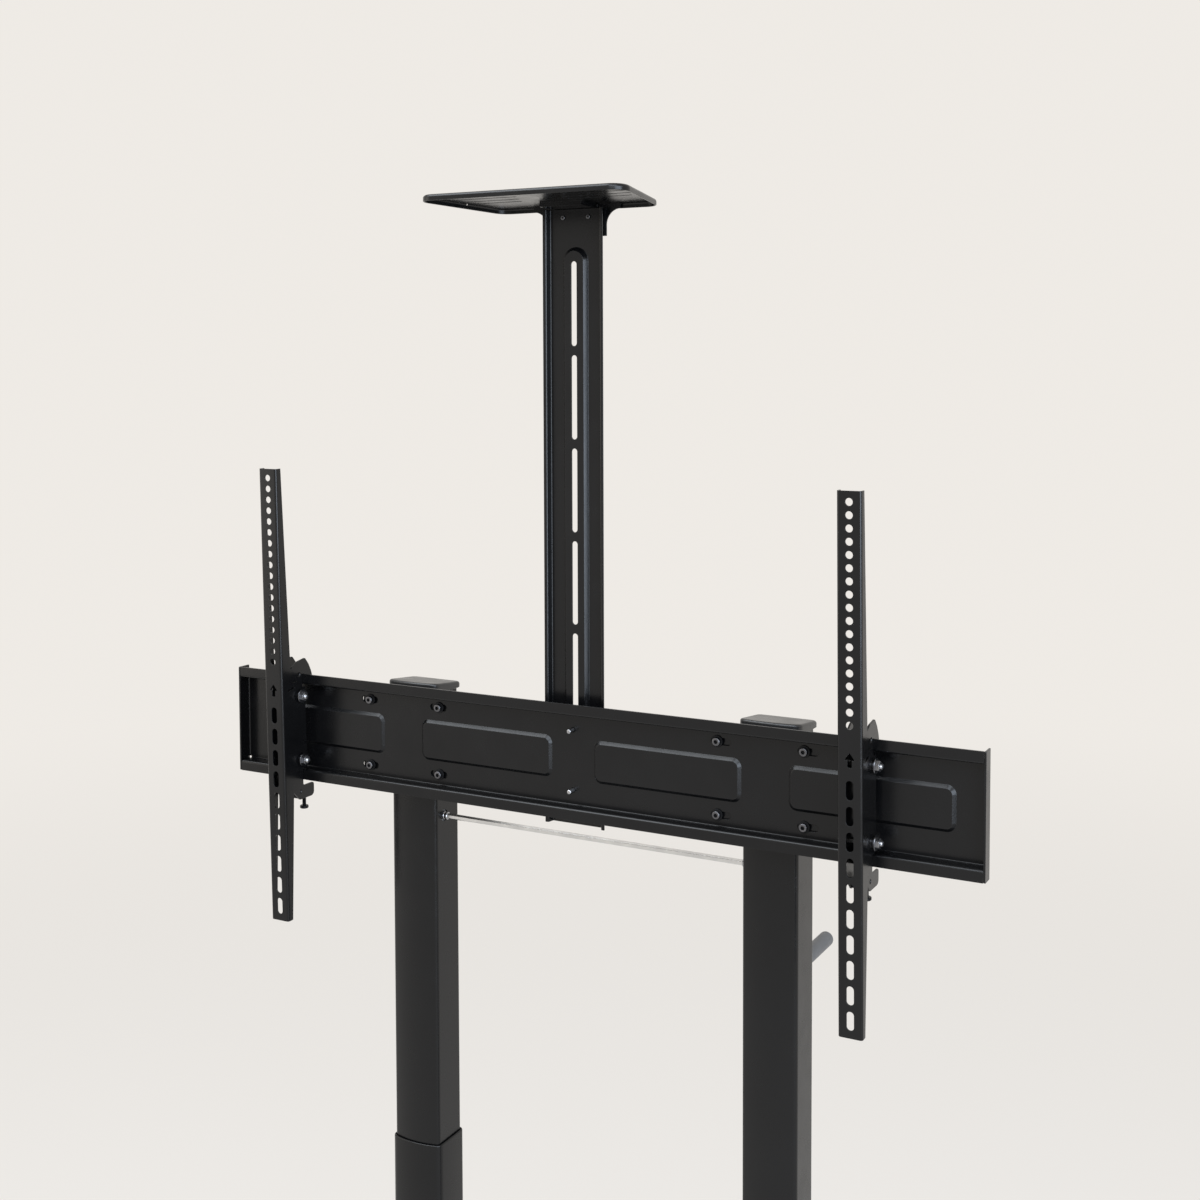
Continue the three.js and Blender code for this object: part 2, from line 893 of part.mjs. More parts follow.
// Rail: a folded sheet with lips up and down, four raised pads, bolt slots and end tabs
const padPlaces = [];
for (let i = 0; i < rail.padCount; i += 1) {
  padPlaces.push((i - (rail.padCount - 1) / 2) * rail.padPitch);
}
const boltPlacesX = [-railBracket.boltSpacingX / 2, railBracket.boltSpacingX / 2];
const boltPlacesZ = [-railBracket.boltSpacingZ / 2, railBracket.boltSpacingZ / 2];
function railBody() {
  const half = rail.height / 2;
  const ledge = half - rail.lipHeight;
  const endX = rail.length / 2;
  const tabX = endX - rail.thickness;
  const foldX = tabX - rail.tabGap;
  const section = sheetOutline(
    [
      [railFront, half],
      [railFront, ledge],
      [webFront, ledge],
      [webFront, -ledge],
      [railFront, -ledge],
      [railFront, -half],
    ],
    rail.thickness,
  );
  let body = across(section, -foldX, foldX);
  const webLink = ledge - rail.reliefRadius;
  for (const end of [-1, 1]) {
    const [tabLow, tabHigh] = end < 0 ? [-endX, -tabX] : [tabX, endX];
    const [linkLow, linkHigh] = end < 0 ? [-endX, -foldX + overrun] : [foldX - overrun, endX];
    body = join(
      body,
      boxBetween([tabLow, railFront, -half], [tabHigh, webFront, half]),
      boxBetween([linkLow, webFront - seatGap, -webLink], [linkHigh, webBack, webLink]),
    );
    for (const corner of [-ledge, ledge]) {
      const notch = drum(
        'y',
        rail.reliefRadius,
        webFront - rail.reliefRadius,
        webBack + overrun,
        [end * (tabX - rail.reliefRadius), corner - Math.sign(corner) * rail.reliefRadius],
        holeFacets,
      );
      body = cut(body, notch);
    }
  }
  for (const x of padPlaces) {
    const outer = roundedRectangle(rail.padWidth, rail.padHeight, rail.padCorner, x);
    const inset = 2 * rail.thickness;
    const inner = roundedRectangle(
      rail.padWidth - inset,
      rail.padHeight - inset,
      rail.padCorner - rail.thickness,
      x,
    );
    body = join(body, facing(outer, webFront - rail.padRise, webFront + rail.thickness / 2));
    body = cut(body, facing(inner, webBack - rail.padRise, webBack + overrun));
  }
  for (const side of [-1, 1]) {
    for (const z of boltPlacesZ) {
      for (const x of boltPlacesX) {
        const centre = side * columnX + x + side * rail.slotShift;
        const slot = slotOutline(rail.slotLength, rail.slotHeight, centre, z);
        body = cut(body, facing(slot, webFront - overrun, webBack + overrun));
      }
    }
  }
  for (const z of studPlaces) {
    const hole = clamp.studRadius + runningGap;
    body = cut(body, drum('y', hole, webFront - overrun, webBack + overrun, [0, z], holeFacets));
  }
  return piece('rail', body, blackSteel);
}
// The bracket that holds the rail to a column, with its four bolts through the rail's slots;
// the right one's bolts sit a little inward in their slots
function railBracketBody(side) {
  const front = webBack + seatGap;
  const back = front + railBracket.thickness;
  const halfX = railBracket.boltSpacingX / 2 + railBracket.margin;
  const halfZ = railBracket.boltSpacingZ / 2 + railBracket.margin / 2;
  const cheek = column.innerWidth / 2 + seatGap;
  const washerBack = webFront - seatGap;
  const washerFront = washerBack - railBracket.washerThickness;
  const headFront = washerFront - railBracket.headHeight;
  const shift = side === 'right' ? railBracket.rightBoltShift : 0;
  let body = boxBetween([-halfX, front, -halfZ], [halfX, back, halfZ]);
  for (const [low, high] of [
    [-cheek - railBracket.cheekThickness, -cheek],
    [cheek, cheek + railBracket.cheekThickness],
  ]) {
    body = join(
      body,
      boxBetween([low, back - overrun, -halfZ], [high, front + railBracket.cheekDepth, halfZ]),
    );
  }
  for (const x of boltPlacesX) {
    for (const z of boltPlacesZ) {
      const centre = [x - shift, z];
      body = join(
        body,
        drum('y', railBracket.boltRadius, headFront, front + overrun, centre, holeFacets),
        drum('y', railBracket.washerRadius, washerFront, washerBack, centre),
        drum('y', railBracket.headRadius, headFront, washerFront + seatGap, centre, holeFacets),
      );
    }
  }
  return piece(`${side}_rail_bracket`, body, blackSteel);
}

// Mast: a folded sheet with side lips and a raised, slotted middle strip
const mastFront = webBack + seatGap;
const mastWeb = mastFront + mast.depth;
const mastBack = mastWeb + mast.thickness;
const mastBottom = -rail.height / 2 - mast.bottomBelowRail;
const mastTop = mastBottom + mast.height;
function mastBody() {
  const outer = mast.width / 2;
  const lip = outer - mast.lipWidth;
  const wall = lip - mast.wallSlope;
  const strip = mast.stripWidth / 2;
  const foot = strip + mast.stripSlope;
  const section = sheetOutline(
    [
      [outer, mastFront],
      [lip, mastFront],
      [wall, mastWeb],
      [-wall, mastWeb],
      [-lip, mastFront],
      [-outer, mastFront],
    ],
    -mast.thickness,
  );
  let body = raised(section, mastBottom, mastTop);
  const topSlotTop = mastTop - mast.topSlotDrop;
  const stripTop = topSlotTop + mast.stripMargin;
  const stripBottom =
    topSlotTop - mast.slotPitch * (mast.slotCount - 1) - mast.slotLength - mast.stripMargin;
  const stripLength = stripTop - stripBottom;
  const stripMiddle = (stripTop + stripBottom) / 2;
  const ring = (half, length, y) => {
    const reach = length / 2 - half;
    const steps = holeFacets / 2;
    return [
      ...arcPoints(0, stripMiddle + reach, half, 0, Math.PI, steps),
      ...arcPoints(0, stripMiddle - reach, half, Math.PI, 2 * Math.PI, steps),
    ].map(([x, z]) => [x, y, z]);
  };
  const slope = 2 * mast.stripSlope;
  const raise = lofted([
    ring(foot, stripLength + slope, mastWeb + mast.thickness / 2),
    ring(strip, stripLength, mastFront),
  ]);
  const inset = 2 * mast.thickness;
  const hollow = lofted([
    ring(foot - mast.thickness, stripLength + slope - inset, mastBack + overrun),
    ring(foot - mast.thickness, stripLength + slope - inset, mastBack),
    ring(strip - mast.thickness, stripLength - inset, mastFront + mast.thickness),
  ]);
  body = cut(join(body, raise), hollow);
  for (let i = 0; i < mast.slotCount; i += 1) {
    const middle = topSlotTop - mast.slotLength / 2 - i * mast.slotPitch;
    const slot = slotOutline(mast.slotLength, mast.slotWidth, 0, middle, true);
    body = cut(body, facing(slot, mastFront - overrun, mastBack + overrun));
  }
  for (const x of [-mast.screwSpacing / 2, mast.screwSpacing / 2]) {
    const hole = drum(
      'y',
      mast.screwRadius + seatGap,
      mastWeb - overrun,
      mastBack + overrun,
      [x, mastTop - mast.screwDrop],
      holeFacets,
    );
    body = cut(body, hole);
  }
  return piece('mast', body, blackSteel);
}
// The clamp plate behind the mast, with two studs through the mast's slot and the rail
function mastClamp() {
  const front = mastBack + seatGap;
  const back = front + clamp.thickness;
  const headBack = webFront - seatGap;
  const headFront = headBack - clamp.studHeadHeight;
  let body = boxBetween(
    [-clamp.width / 2, front, -clamp.height / 2],
    [clamp.width / 2, back, clamp.height / 2],
  );
  for (const z of studPlaces) {
    body = join(
      body,
      drum('y', clamp.studRadius, headFront, front + overrun, [0, z], holeFacets),
      drum('y', clamp.studHeadRadius, headFront, headBack, [0, z], holeFacets),
    );
  }
  return piece('mast_clamp', body, brightSteel);
}

// Shelf: a tray with its rims folded down, slots, and a tab screwed to the back of the mast.
// It falls a little towards its back.
const shelfUnder = mastTop + seatGap + shelf.seatHeight;
const shelfBack = mastBack + shelf.backBehindMast;
const shelfFront = shelfBack - shelf.depth;
const shelfAt = (points, backHeight) =>
  points.map(([x, y]) => [x, y, backHeight + (shelf.fall * (shelfBack - y)) / shelf.depth]);
const shelfSlab = (points, low, high) => lofted([shelfAt(points, low), shelfAt(points, high)]);
function shelfPoints(inset) {
  const slant = (shelf.frontWidth - shelf.backWidth) / 2 / shelf.depth;
  const lean = Math.atan(slant);
  const radius = shelf.sideCornerRadius - inset;
  const halfAt = (y) =>
    shelf.frontWidth / 2 - (y - shelfFront) * slant - inset / Math.cos(lean);
  const front = shelfFront + inset + radius;
  const back = shelfBack - inset - radius;
  const reach = radius / Math.cos(lean);
  const quarter = Math.PI / 2;
  const frontX = halfAt(front) - reach;
  const backX = halfAt(back) - reach;
  const steps = 2 * cornerFacets;
  return [
    ...arcPoints(frontX, front, radius, -quarter, lean, steps),
    ...arcPoints(backX, back, radius, lean, quarter, steps),
    ...arcPoints(-backX, back, radius, quarter, 2 * quarter - lean, steps),
    ...arcPoints(-frontX, front, radius, 2 * quarter - lean, 3 * quarter, steps),
  ];
}
function shelfBody() {
  const top = shelfUnder + shelf.thickness;
  const rimBottom = top - shelf.rimHeight;
  let body = cut(
    shelfSlab(shelfPoints(0), rimBottom, top),
    shelfSlab(shelfPoints(shelf.thickness), rimBottom - overrun, shelfUnder),
  );
  for (const side of [-1, 1]) {
    for (let i = 0; i < shelf.slotCount; i += 1) {
      const step = (shelf.slotCount - 1) / 2 - i;
      const x = side * shelf.slotInset + step * shelf.slotStagger;
      const y = shelfFront + shelf.slotFront + i * shelf.slotPitch;
      const slot = slotOutline(shelf.slotLength, shelf.slotWidth, x, y);
      body = cut(body, raised(slot, shelfUnder - overrun, top + shelf.fall + overrun));
    }
  }
  const tabFront = mastBack + seatGap;
  const tabBack = tabFront + shelf.thickness;
  const tabHalf = shelf.tabWidth / 2;
  const tabBottom = top - shelf.tabHeight;
  const flareFoot = rimBottom - shelf.tabFlare;
  const quarter = Math.PI / 2;
  const flare = arcPoints(
    tabHalf + shelf.tabFlare,
    flareFoot,
    shelf.tabFlare,
    2 * quarter,
    quarter,
    cornerFacets,
  );
  const tab = outlineOf([
    [-tabHalf, tabBottom],
    [tabHalf, tabBottom],
    ...flare,
    [tabHalf + shelf.tabFlare, shelfUnder + seatGap],
    [-tabHalf - shelf.tabFlare, shelfUnder + seatGap],
    ...flare.map(([x, z]) => [-x, z]).reverse(),
  ]);
  const seatHalf = shelf.seatWidth / 2;
  const seatCorners = [
    [-seatHalf, tabBack - shelf.seatDepth],
    [seatHalf, tabBack - shelf.seatDepth],
    [seatHalf, tabBack],
    [-seatHalf, tabBack],
  ];
  const seat = lofted([
    seatCorners.map(([x, y]) => [x, y, mastTop + seatGap]),
    shelfAt(seatCorners, shelfUnder + seatGap),
  ]);
  body = join(body, facing(tab, tabFront, tabBack), seat);
  for (const x of [-mast.screwSpacing / 2, mast.screwSpacing / 2]) {
    const centre = [x, mastTop - mast.screwDrop];
    body = join(
      body,
      drum('y', mast.screwRadius, mastWeb - mast.thickness, tabBack, centre, holeFacets),
    );
  }
  return piece('shelf', body, blackSteel);
}

// Display arm: a channel with holes and slots in its face and wings that reach the pivot.
// It is drawn upright, from its pivot, and leans forward with its group.
const faceFront = -pivot.behindFace;
const upright = {
  top: arm.middleAboveRail + pivot.belowRailMiddle + arm.arrowPlace + arm.topMargin,
  firstHole: arm.middleAboveRail + pivot.belowRailMiddle + arm.arrowPlace,
};
const lastSlot = upright.firstHole - arm.slotStart - (arm.slotCount - 1) * arm.slotPitch;
upright.bottom = lastSlot - arm.bottomMargin;
function armBody(side) {
  const half = arm.width / 2;
  const inner = half - arm.thickness;
  const behind = (depth) => faceFront + depth;
  const flange = outlineOf([
    [faceFront, upright.bottom],
    [behind(arm.endDepth), upright.bottom],
    [behind(arm.middleDepth), -arm.wingBottom - arm.middleDepth],
    [behind(arm.middleDepth + arm.wingRound), -arm.wingBottom],
    [behind(arm.wingBack), -arm.wingBottom],
    [behind(arm.wingBack), arm.wingShoulder],
    [behind(arm.wingShoulderBack), arm.wingShoulder],
    [behind(arm.wingShoulderBack), arm.wingTop - arm.wingRound],
    [behind(arm.wingShoulderBack - arm.wingRound), arm.wingTop],
    [behind(arm.middleDepth), arm.wingTop],
    [behind(arm.endDepth), upright.top],
    [faceFront, upright.top],
  ]);
  const faceBack = faceFront + arm.thickness;
  const face = boxBetween(
    [-half, faceFront, upright.bottom],
    [half, faceBack, upright.top],
  );
  const body = join(face, across(flange, inner, half), across(flange, -half, -inner));
  const tools = [];
  const pierced = (shape) => facing(shape, faceFront - overrun, faceBack + overrun);
  const holeRadius = arm.holeDiameter / 2;
  for (let i = 0; i < arm.holeCount; i += 1) {
    const centre = [0, upright.firstHole - i * arm.holePitch];
    const hole = drum('y', holeRadius, faceFront - overrun, faceBack + overrun, centre, holeFacets);
    tools.push(hole);
  }
  for (let i = 0; i < arm.slotCount; i += 1) {
    const z = upright.firstHole - arm.slotStart - i * arm.slotPitch;
    tools.push(pierced(slotOutline(arm.slotLength, arm.slotWidth, 0, z, true)));
  }
  const arrowZ = upright.firstHole - arm.arrowPlace + arm.arrowRaise;
  const halfArrow = arm.arrowHeight / 2;
  const halfHead = arm.arrowWidth / 2;
  const halfStem = arm.arrowStem / 2;
  tools.push(
    pierced(
      outlineOf([
        [0, arrowZ + halfArrow],
        [-halfHead, arrowZ],
        [-halfStem, arrowZ],
        [-halfStem, arrowZ - halfArrow],
        [halfStem, arrowZ - halfArrow],
        [halfStem, arrowZ],
        [halfHead, arrowZ],
      ]),
    ),
  );
  const boltHole = bolt.shankRadius + runningGap;
  tools.push(drum('x', boltHole, -half - overrun, half + overrun, [0, 0], holeFacets));
  tools.push(
    drum('x', boltHole, -half - overrun, half + overrun, [0, pivot.lockRadius], holeFacets),
  );
  const guideAngles = arm.guideSlotDegrees.map((angle) => (angle * Math.PI) / 180);
  const guideFar = arm.guideSlotRadius + arm.guideSlotWidth;
  const guide = outlineOf([
    ...arcPoints(0, 0, arm.guideSlotRadius, guideAngles[0], guideAngles[1], cornerFacets),
    ...arcPoints(0, 0, guideFar, guideAngles[1], guideAngles[0], cornerFacets),
  ]);
  tools.push(across(guide, -half - overrun, half + overrun));
  return piece(`${side}_arm`, cut(body, ...tools), blackSteel);
}
// The bolt that locks the tilt turns with the arm; the pivot bolt stays with the bracket
function crossBolt(name, centre) {
  const half = arm.width / 2 + seatGap;
  const nut = half + bolt.nutHeight;
  return piece(
    name,
    join(
      drum('x', bolt.shankRadius, -half - overrun, nut, centre, holeFacets),
      drum('x', bolt.headRadius, -half - bolt.headHeight, -half, centre, holeFacets / 2),
      drum('x', bolt.nutRadius, half, nut, centre, holeFacets / 2),
      drum('x', bolt.endRadius, nut - seatGap, nut + bolt.endLength, centre, holeFacets),
    ),
    brightSteel,
  );
}
// Hook bracket: two side plates that hang over the rail's top lip and reach under its bottom
// lip, joined by a front web and a foot for the safety screw. Drawn from the pivot.
const pivotY = railFront - arm.faceToRail + pivot.behindFace;
const pivotZ = -pivot.belowRailMiddle;
const lipTop = rail.height / 2 - pivotZ;
const lipBottom = -rail.height / 2 - pivotZ;
const lipFront = railFront - pivotY;
const lipBack = lipFront + rail.thickness;
const footBottom = lipBottom - hook.bottomDrop;
const footTop = footBottom + hook.crossThickness;
const screwCentre = [0, faceFront + safetyScrew.behindFace];
const screwBore = safetyScrew.radius + runningGap;
function hookBracket(side) {
  const outer = arm.width / 2 - arm.thickness - hook.plateGap;
  const inner = outer - hook.plateThickness;
  const behind = (depth) => faceFront + depth;
  const front = behind(hook.frontInset);
  const near = lipFront - seatGap;
  const far = lipBack + seatGap;
  const earTop = lipTop + hook.earHeight;
  const frontShares = [
    [0.38, 0.39],
    [0.45, 0.6],
    [0.64, 0.87],
  ];
  const backShares = [
    [0.5, 0.57],
    [0.84, 0.1],
  ];
  const backReach = hook.fingerBack - hook.earTip;
  const fingerTip = lipTop - hook.fingerDrop;
  const plate = outlineOf([
    [front, -hook.footTop / 2],
    [behind(hook.footInset), -hook.footTop],
    [behind(hook.footInset), footBottom + hook.footCut],
    [behind(hook.footInset + hook.footCut), footBottom],
    [behind(hook.tailBack), footBottom],
    [behind(hook.tailBack), lipBottom - hook.tailTop],
    [near, lipBottom - hook.tailTop],
    [near, lipTop + seatGap],
    [far, lipTop + seatGap],
    [far, fingerTip],
    [behind(hook.fingerBack), fingerTip],
    [behind(hook.fingerBack), lipTop - hook.fingerDrop / 2],
    ...backShares
      .map(([u, v]) => [behind(hook.earTip + backReach * u), lipTop + hook.earHeight * v])
      .reverse(),
    [behind(hook.earTip), earTop],
    ...frontShares
      .map(([u, v]) => [behind(hook.earTip * u), lipTop + hook.earHeight * v])
      .reverse(),
    [front, lipTop],
  ]);
  const web = boxBetween(
    [-inner - overrun, front, hook.crossLow],
    [inner + overrun, front + hook.crossThickness, hook.crossHigh],
  );
  const foot = boxBetween(
    [-inner - overrun, behind(hook.footInset + hook.footCut + hook.crossThickness), footBottom],
    [inner + overrun, behind(hook.tailBack), footTop],
  );
  const tilt = (degrees) => ((90 + degrees) * Math.PI) / 180;
  const slotHalf = bolt.shankRadius + runningGap;
  const slotEnd = arm.greatestTiltDegrees;
  const lock = outlineOf([
    ...arcPoints(0, 0, pivot.lockRadius + slotHalf, tilt(slotEnd), tilt(0), cornerFacets),
    ...arcPoints(0, 0, pivot.lockRadius - slotHalf, tilt(0), tilt(slotEnd), cornerFacets),
  ]);
  const holes = [
    drum('x', slotHalf, -outer - overrun, outer + overrun, [0, 0], holeFacets),
    across(lock, -outer - overrun, outer + overrun),
    drum('z', screwBore, footBottom - overrun, footTop + overrun, screwCentre),
  ];
  for (const degrees of [0, slotEnd]) {
    const centre = [
      pivot.lockRadius * Math.cos(tilt(degrees)),
      pivot.lockRadius * Math.sin(tilt(degrees)),
    ];
    holes.push(drum('x', slotHalf, -outer - overrun, outer + overrun, centre, holeFacets));
  }
  const body = join(across(plate, inner, outer), across(plate, -outer, -inner), web, foot);
  return piece(`${side}_hook_bracket`, cut(body, ...holes), blackSteel);
}
function safetyScrewBody(side) {
  const headBottom = footBottom - safetyScrew.headBelowFoot;
  const headTop = headBottom + safetyScrew.headHeight;
  const tip = footBottom + safetyScrew.aboveFoot;
  return piece(
    `${side}_safety_screw`,
    join(
      drum('z', safetyScrew.radius, headTop - seatGap, tip, screwCentre, holeFacets),
      drum('z', safetyScrew.headRadius, headBottom, headTop, screwCentre),
    ),
    blackSteel,
  );
}
function armSet(side) {
  const leaning = groupAt(
    0,
    0,
    0,
    armBody(side),
    crossBolt(`${side}_tilt_bolt`, [0, pivot.lockRadius]),
  );
  leaning.rotation.x = (arm.restTiltDegrees * Math.PI) / 180;
  const x = side === 'left' ? arm.leftX : arm.rightX;
  return groupAt(
    x,
    pivotY,
    pivotZ,
    leaning,
    hookBracket(side),
    crossBolt(`${side}_pivot_bolt`, [0, 0]),
    safetyScrewBody(side),
  );
}

// The whole stand
const sides = ['left', 'right'];
const ends = ['front', 'rear'];
const stand = new THREE.Group();
stand.add(crossBeam());
for (const side of sides) {
  const sign = side === 'left' ? -1 : 1;
  const feet = groupAt(sign * beamX, 0, 0, footBeam(side));
  for (const end of ends) {
    feet.add(beamCap(side, end));
    stand.add(castorSet(side, end));
  }
  stand.add(feet);
  stand.add(
    groupAt(
      sign * columnX,
      0,
      0,
      columnPlate(side),
      outerColumn(side),
      glideSleeve(side),
      nutPost(side),
      liftNut(side),
    ),
  );
}
const lift = groupAt(0, 0, railMiddle, railBody(), mastBody(), mastClamp(), shelfBody(), driveRod());
for (const side of sides) {
  const sign = side === 'left' ? -1 : 1;
  const risingColumn = groupAt(
    sign * columnX,
    0,
    0,
    innerColumn(side),
    columnCap(side),
    gearboxHousing(side),
    leadScrew(side),
    railBracketBody(side),
  );
  if (side === 'right') risingColumn.add(crankHandle(), crankGrip());
  lift.add(risingColumn, armSet(side));
}
stand.add(lift);

export default stand;
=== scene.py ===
# Height-adjustable display stand: fine surfaces, finishes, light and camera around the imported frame.
# Shapes are drawn in millimetres in the frame's own axes and become metres when a mesh is made.
import math

import bmesh
import bpy
import numpy as np
from mathutils import Matrix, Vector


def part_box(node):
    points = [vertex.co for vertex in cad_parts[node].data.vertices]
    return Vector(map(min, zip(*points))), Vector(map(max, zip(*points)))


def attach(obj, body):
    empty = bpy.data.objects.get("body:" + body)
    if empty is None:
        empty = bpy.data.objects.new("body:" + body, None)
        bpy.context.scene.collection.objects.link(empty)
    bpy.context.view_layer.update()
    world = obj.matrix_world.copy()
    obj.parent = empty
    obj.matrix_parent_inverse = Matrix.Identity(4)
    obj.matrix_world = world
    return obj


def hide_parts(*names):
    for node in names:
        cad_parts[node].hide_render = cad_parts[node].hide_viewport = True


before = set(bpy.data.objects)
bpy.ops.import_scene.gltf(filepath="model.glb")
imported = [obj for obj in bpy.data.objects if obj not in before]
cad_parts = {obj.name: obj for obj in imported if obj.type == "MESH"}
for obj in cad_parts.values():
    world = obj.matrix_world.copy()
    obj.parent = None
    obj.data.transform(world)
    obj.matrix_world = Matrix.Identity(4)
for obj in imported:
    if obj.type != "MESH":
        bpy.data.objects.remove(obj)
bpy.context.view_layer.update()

MM = 0.001
ROUND_STEPS = 48
CORNER_STEPS = 6
BEND_STEPS = 8
FLARE_STEPS = 10
HEXAGON = 6
HEX_TURN = 30.0
OVERRUN = 1.0
SEAT_GAP = 0.3
BORE_GAP = 0.4
SIDES = {"left": -1, "right": 1}
ENDS = ("front", "rear")


# Camera of the photograph, found by a fit over the holes, rail corners and columns
CAMERA_PLACE = (0.983523, -1.778437, 1.944713)
CAMERA_YAW = math.radians(27.520)
CAMERA_PITCH = math.radians(2.957)
CAMERA_ROLL = math.radians(-0.121)
FRAME_PIXELS = 1200
FOCAL_PIXELS = 1558.319
CENTRE_PIXELS = (628.855, 443.884)
SENSOR = 36.0
CLIP_END = 60.0


def make_camera():
    forward = np.array(
        [
            -math.sin(CAMERA_YAW) * math.cos(CAMERA_PITCH),
            math.cos(CAMERA_YAW) * math.cos(CAMERA_PITCH),
            -math.sin(CAMERA_PITCH),
        ]
    )
    level = np.array([math.cos(CAMERA_YAW), math.sin(CAMERA_YAW), 0.0])
    above = np.cross(level, forward)
    right = math.cos(CAMERA_ROLL) * level + math.sin(CAMERA_ROLL) * above
    up = -math.sin(CAMERA_ROLL) * level + math.cos(CAMERA_ROLL) * above
    data = bpy.data.cameras.new("camera")
    data.sensor_fit = "HORIZONTAL"
    data.sensor_width = SENSOR
    data.lens = FOCAL_PIXELS / FRAME_PIXELS * SENSOR
    data.shift_x = (FRAME_PIXELS / 2 - CENTRE_PIXELS[0]) / FRAME_PIXELS
    data.shift_y = (CENTRE_PIXELS[1] - FRAME_PIXELS / 2) / FRAME_PIXELS
    data.clip_end = CLIP_END
    camera = bpy.data.objects.new("camera", data)
    turn = Matrix((right, up, -forward)).transposed().to_4x4()
    camera.matrix_world = Matrix.Translation(CAMERA_PLACE) @ turn
    bpy.context.scene.collection.objects.link(camera)
    bpy.context.scene.camera = camera


make_camera()


# Outlines, in millimetres
def arc(u, v, radius, start, end, steps=CORNER_STEPS):
    """Points on an arc, with its angles in degrees."""
    angles = np.radians(np.linspace(start, end, steps + 1))
    return [(u + radius * math.cos(a), v + radius * math.sin(a)) for a in angles]


def slot_outline(length, width, u, v, standing=False):
    radius = width / 2
    reach = length / 2 - radius
    steps = ROUND_STEPS // 2
    if standing:
        return arc(u, v + reach, radius, 0, 180, steps) + arc(u, v - reach, radius, 180, 360, steps)
    return arc(u + reach, v, radius, -90, 90, steps) + arc(u - reach, v, radius, 90, 270, steps)


def rounded_rectangle(width, height, radius, u=0.0, v=0.0, steps=CORNER_STEPS):
    right = u + width / 2 - radius
    left = u - width / 2 + radius
    top = v + height / 2 - radius
    bottom = v - height / 2 + radius
    return (
        arc(right, top, radius, 0, 90, steps)
        + arc(left, top, radius, 90, 180, steps)
        + arc(left, bottom, radius, 180, 270, steps)
        + arc(right, bottom, radius, 270, 360, steps)
    )


def fillet(points, radii, steps=CORNER_STEPS, closed=True):
    """Rounds the corners of an outline; radii is one number or one for each corner."""
    count = len(points)
    result = []
    for i, point in enumerate(points):
        radius = radii[i] if isinstance(radii, (list, tuple)) else radii
        if radius <= 0 or (not closed and i in (0, count - 1)):
            result.append(tuple(point))
            continue
        corner = np.array(point, float)
        before = np.array(points[i - 1], float) - corner
        after = np.array(points[(i + 1) % count], float) - corner
        room = min(np.linalg.norm(before), np.linalg.norm(after)) / 2
        before /= np.linalg.norm(before)
        after /= np.linalg.norm(after)
        half = math.acos(max(-1.0, min(1.0, float(before @ after)))) / 2
        run = min(radius / math.tan(half), room)
        radius = run * math.tan(half)
        centre = corner + (before + after) / np.linalg.norm(before + after) * radius / math.sin(half)
        start = corner + before * run - centre
        finish = corner + after * run - centre
        first = math.atan2(start[1], start[0])
        sweep = math.atan2(finish[1], finish[0]) - first
        sweep = (sweep + math.pi) % (2 * math.pi) - math.pi
        for k in range(steps + 1):
            angle = first + sweep * k / steps
            result.append((centre[0] + radius * math.cos(angle), centre[1] + radius * math.sin(angle)))
    return result


def folded_sheet(line, thickness, bend):
    """The closed outline of a bent sheet, with its thickness to the left of the line."""
    points = [np.array(point, float) for point in line]
    runs = [(b - a) / np.linalg.norm(b - a) for a, b in zip(points, points[1:])]
    back = []
    front_radii = []
    back_radii = []
    for i, point in enumerate(points):
        into = runs[max(i - 1, 0)]
        out = runs[min(i, len(runs) - 1)]
        reach = thickness / (1 + float(into @ out))
        back.append((point[0] - (into[1] + out[1]) * reach, point[1] + (into[0] + out[0]) * reach))
        turns_left = into[0] * out[1] - into[1] * out[0] > 0
        front_radii.append(bend + abs(thickness) if turns_left == (thickness > 0) else bend)
        back_radii.append(bend if turns_left == (thickness > 0) else bend + abs(thickness))
    front = fillet(line, front_radii, closed=False)
    rear = fillet(back, back_radii, closed=False)
    return front + rear[::-1]


# Shapes are pairs of vertices and faces
AXES = {"x": (1, 2, 0), "y": (0, 2, 1), "z": (0, 1, 2)}


def along(axis, outline, level):
    u_index, v_index, w_index = AXES[axis]
    ring = []
    for u, v in outline:
        place = [0.0, 0.0, 0.0]
        place[u_index] = u
        place[v_index] = v
        place[w_index] = level
        ring.append(place)
    return ring


def loft(rings, closed_ends=True):
    """A skin over rings of equal point count."""
    count = len(rings[0])
    vertices = [point for ring in rings for point in ring]
    faces = []
    for ring in range(len(rings) - 1):
        for i in range(count):
            a = ring * count + i
            b = ring * count + (i + 1) % count
            faces.append((a, b, b + count, a + count))
    if closed_ends:
        last = (len(rings) - 1) * count
        faces.append(tuple(range(count))[::-1])
        faces.append(tuple(range(last, last + count)))
    return vertices, faces


def prism(axis, outline, low, high):
    return loft([along(axis, outline, low), along(axis, outline, high)])


def block(low, high, radius=0.0):
    if radius:
        u, v = (low[0] + high[0]) / 2, (low[1] + high[1]) / 2
        outline = rounded_rectangle(high[0] - low[0], high[1] - low[1], radius, u, v)
    else:
        outline = [(low[0], low[1]), (high[0], low[1]), (high[0], high[1]), (low[0], high[1])]
    return prism("z", outline, low[2], high[2])


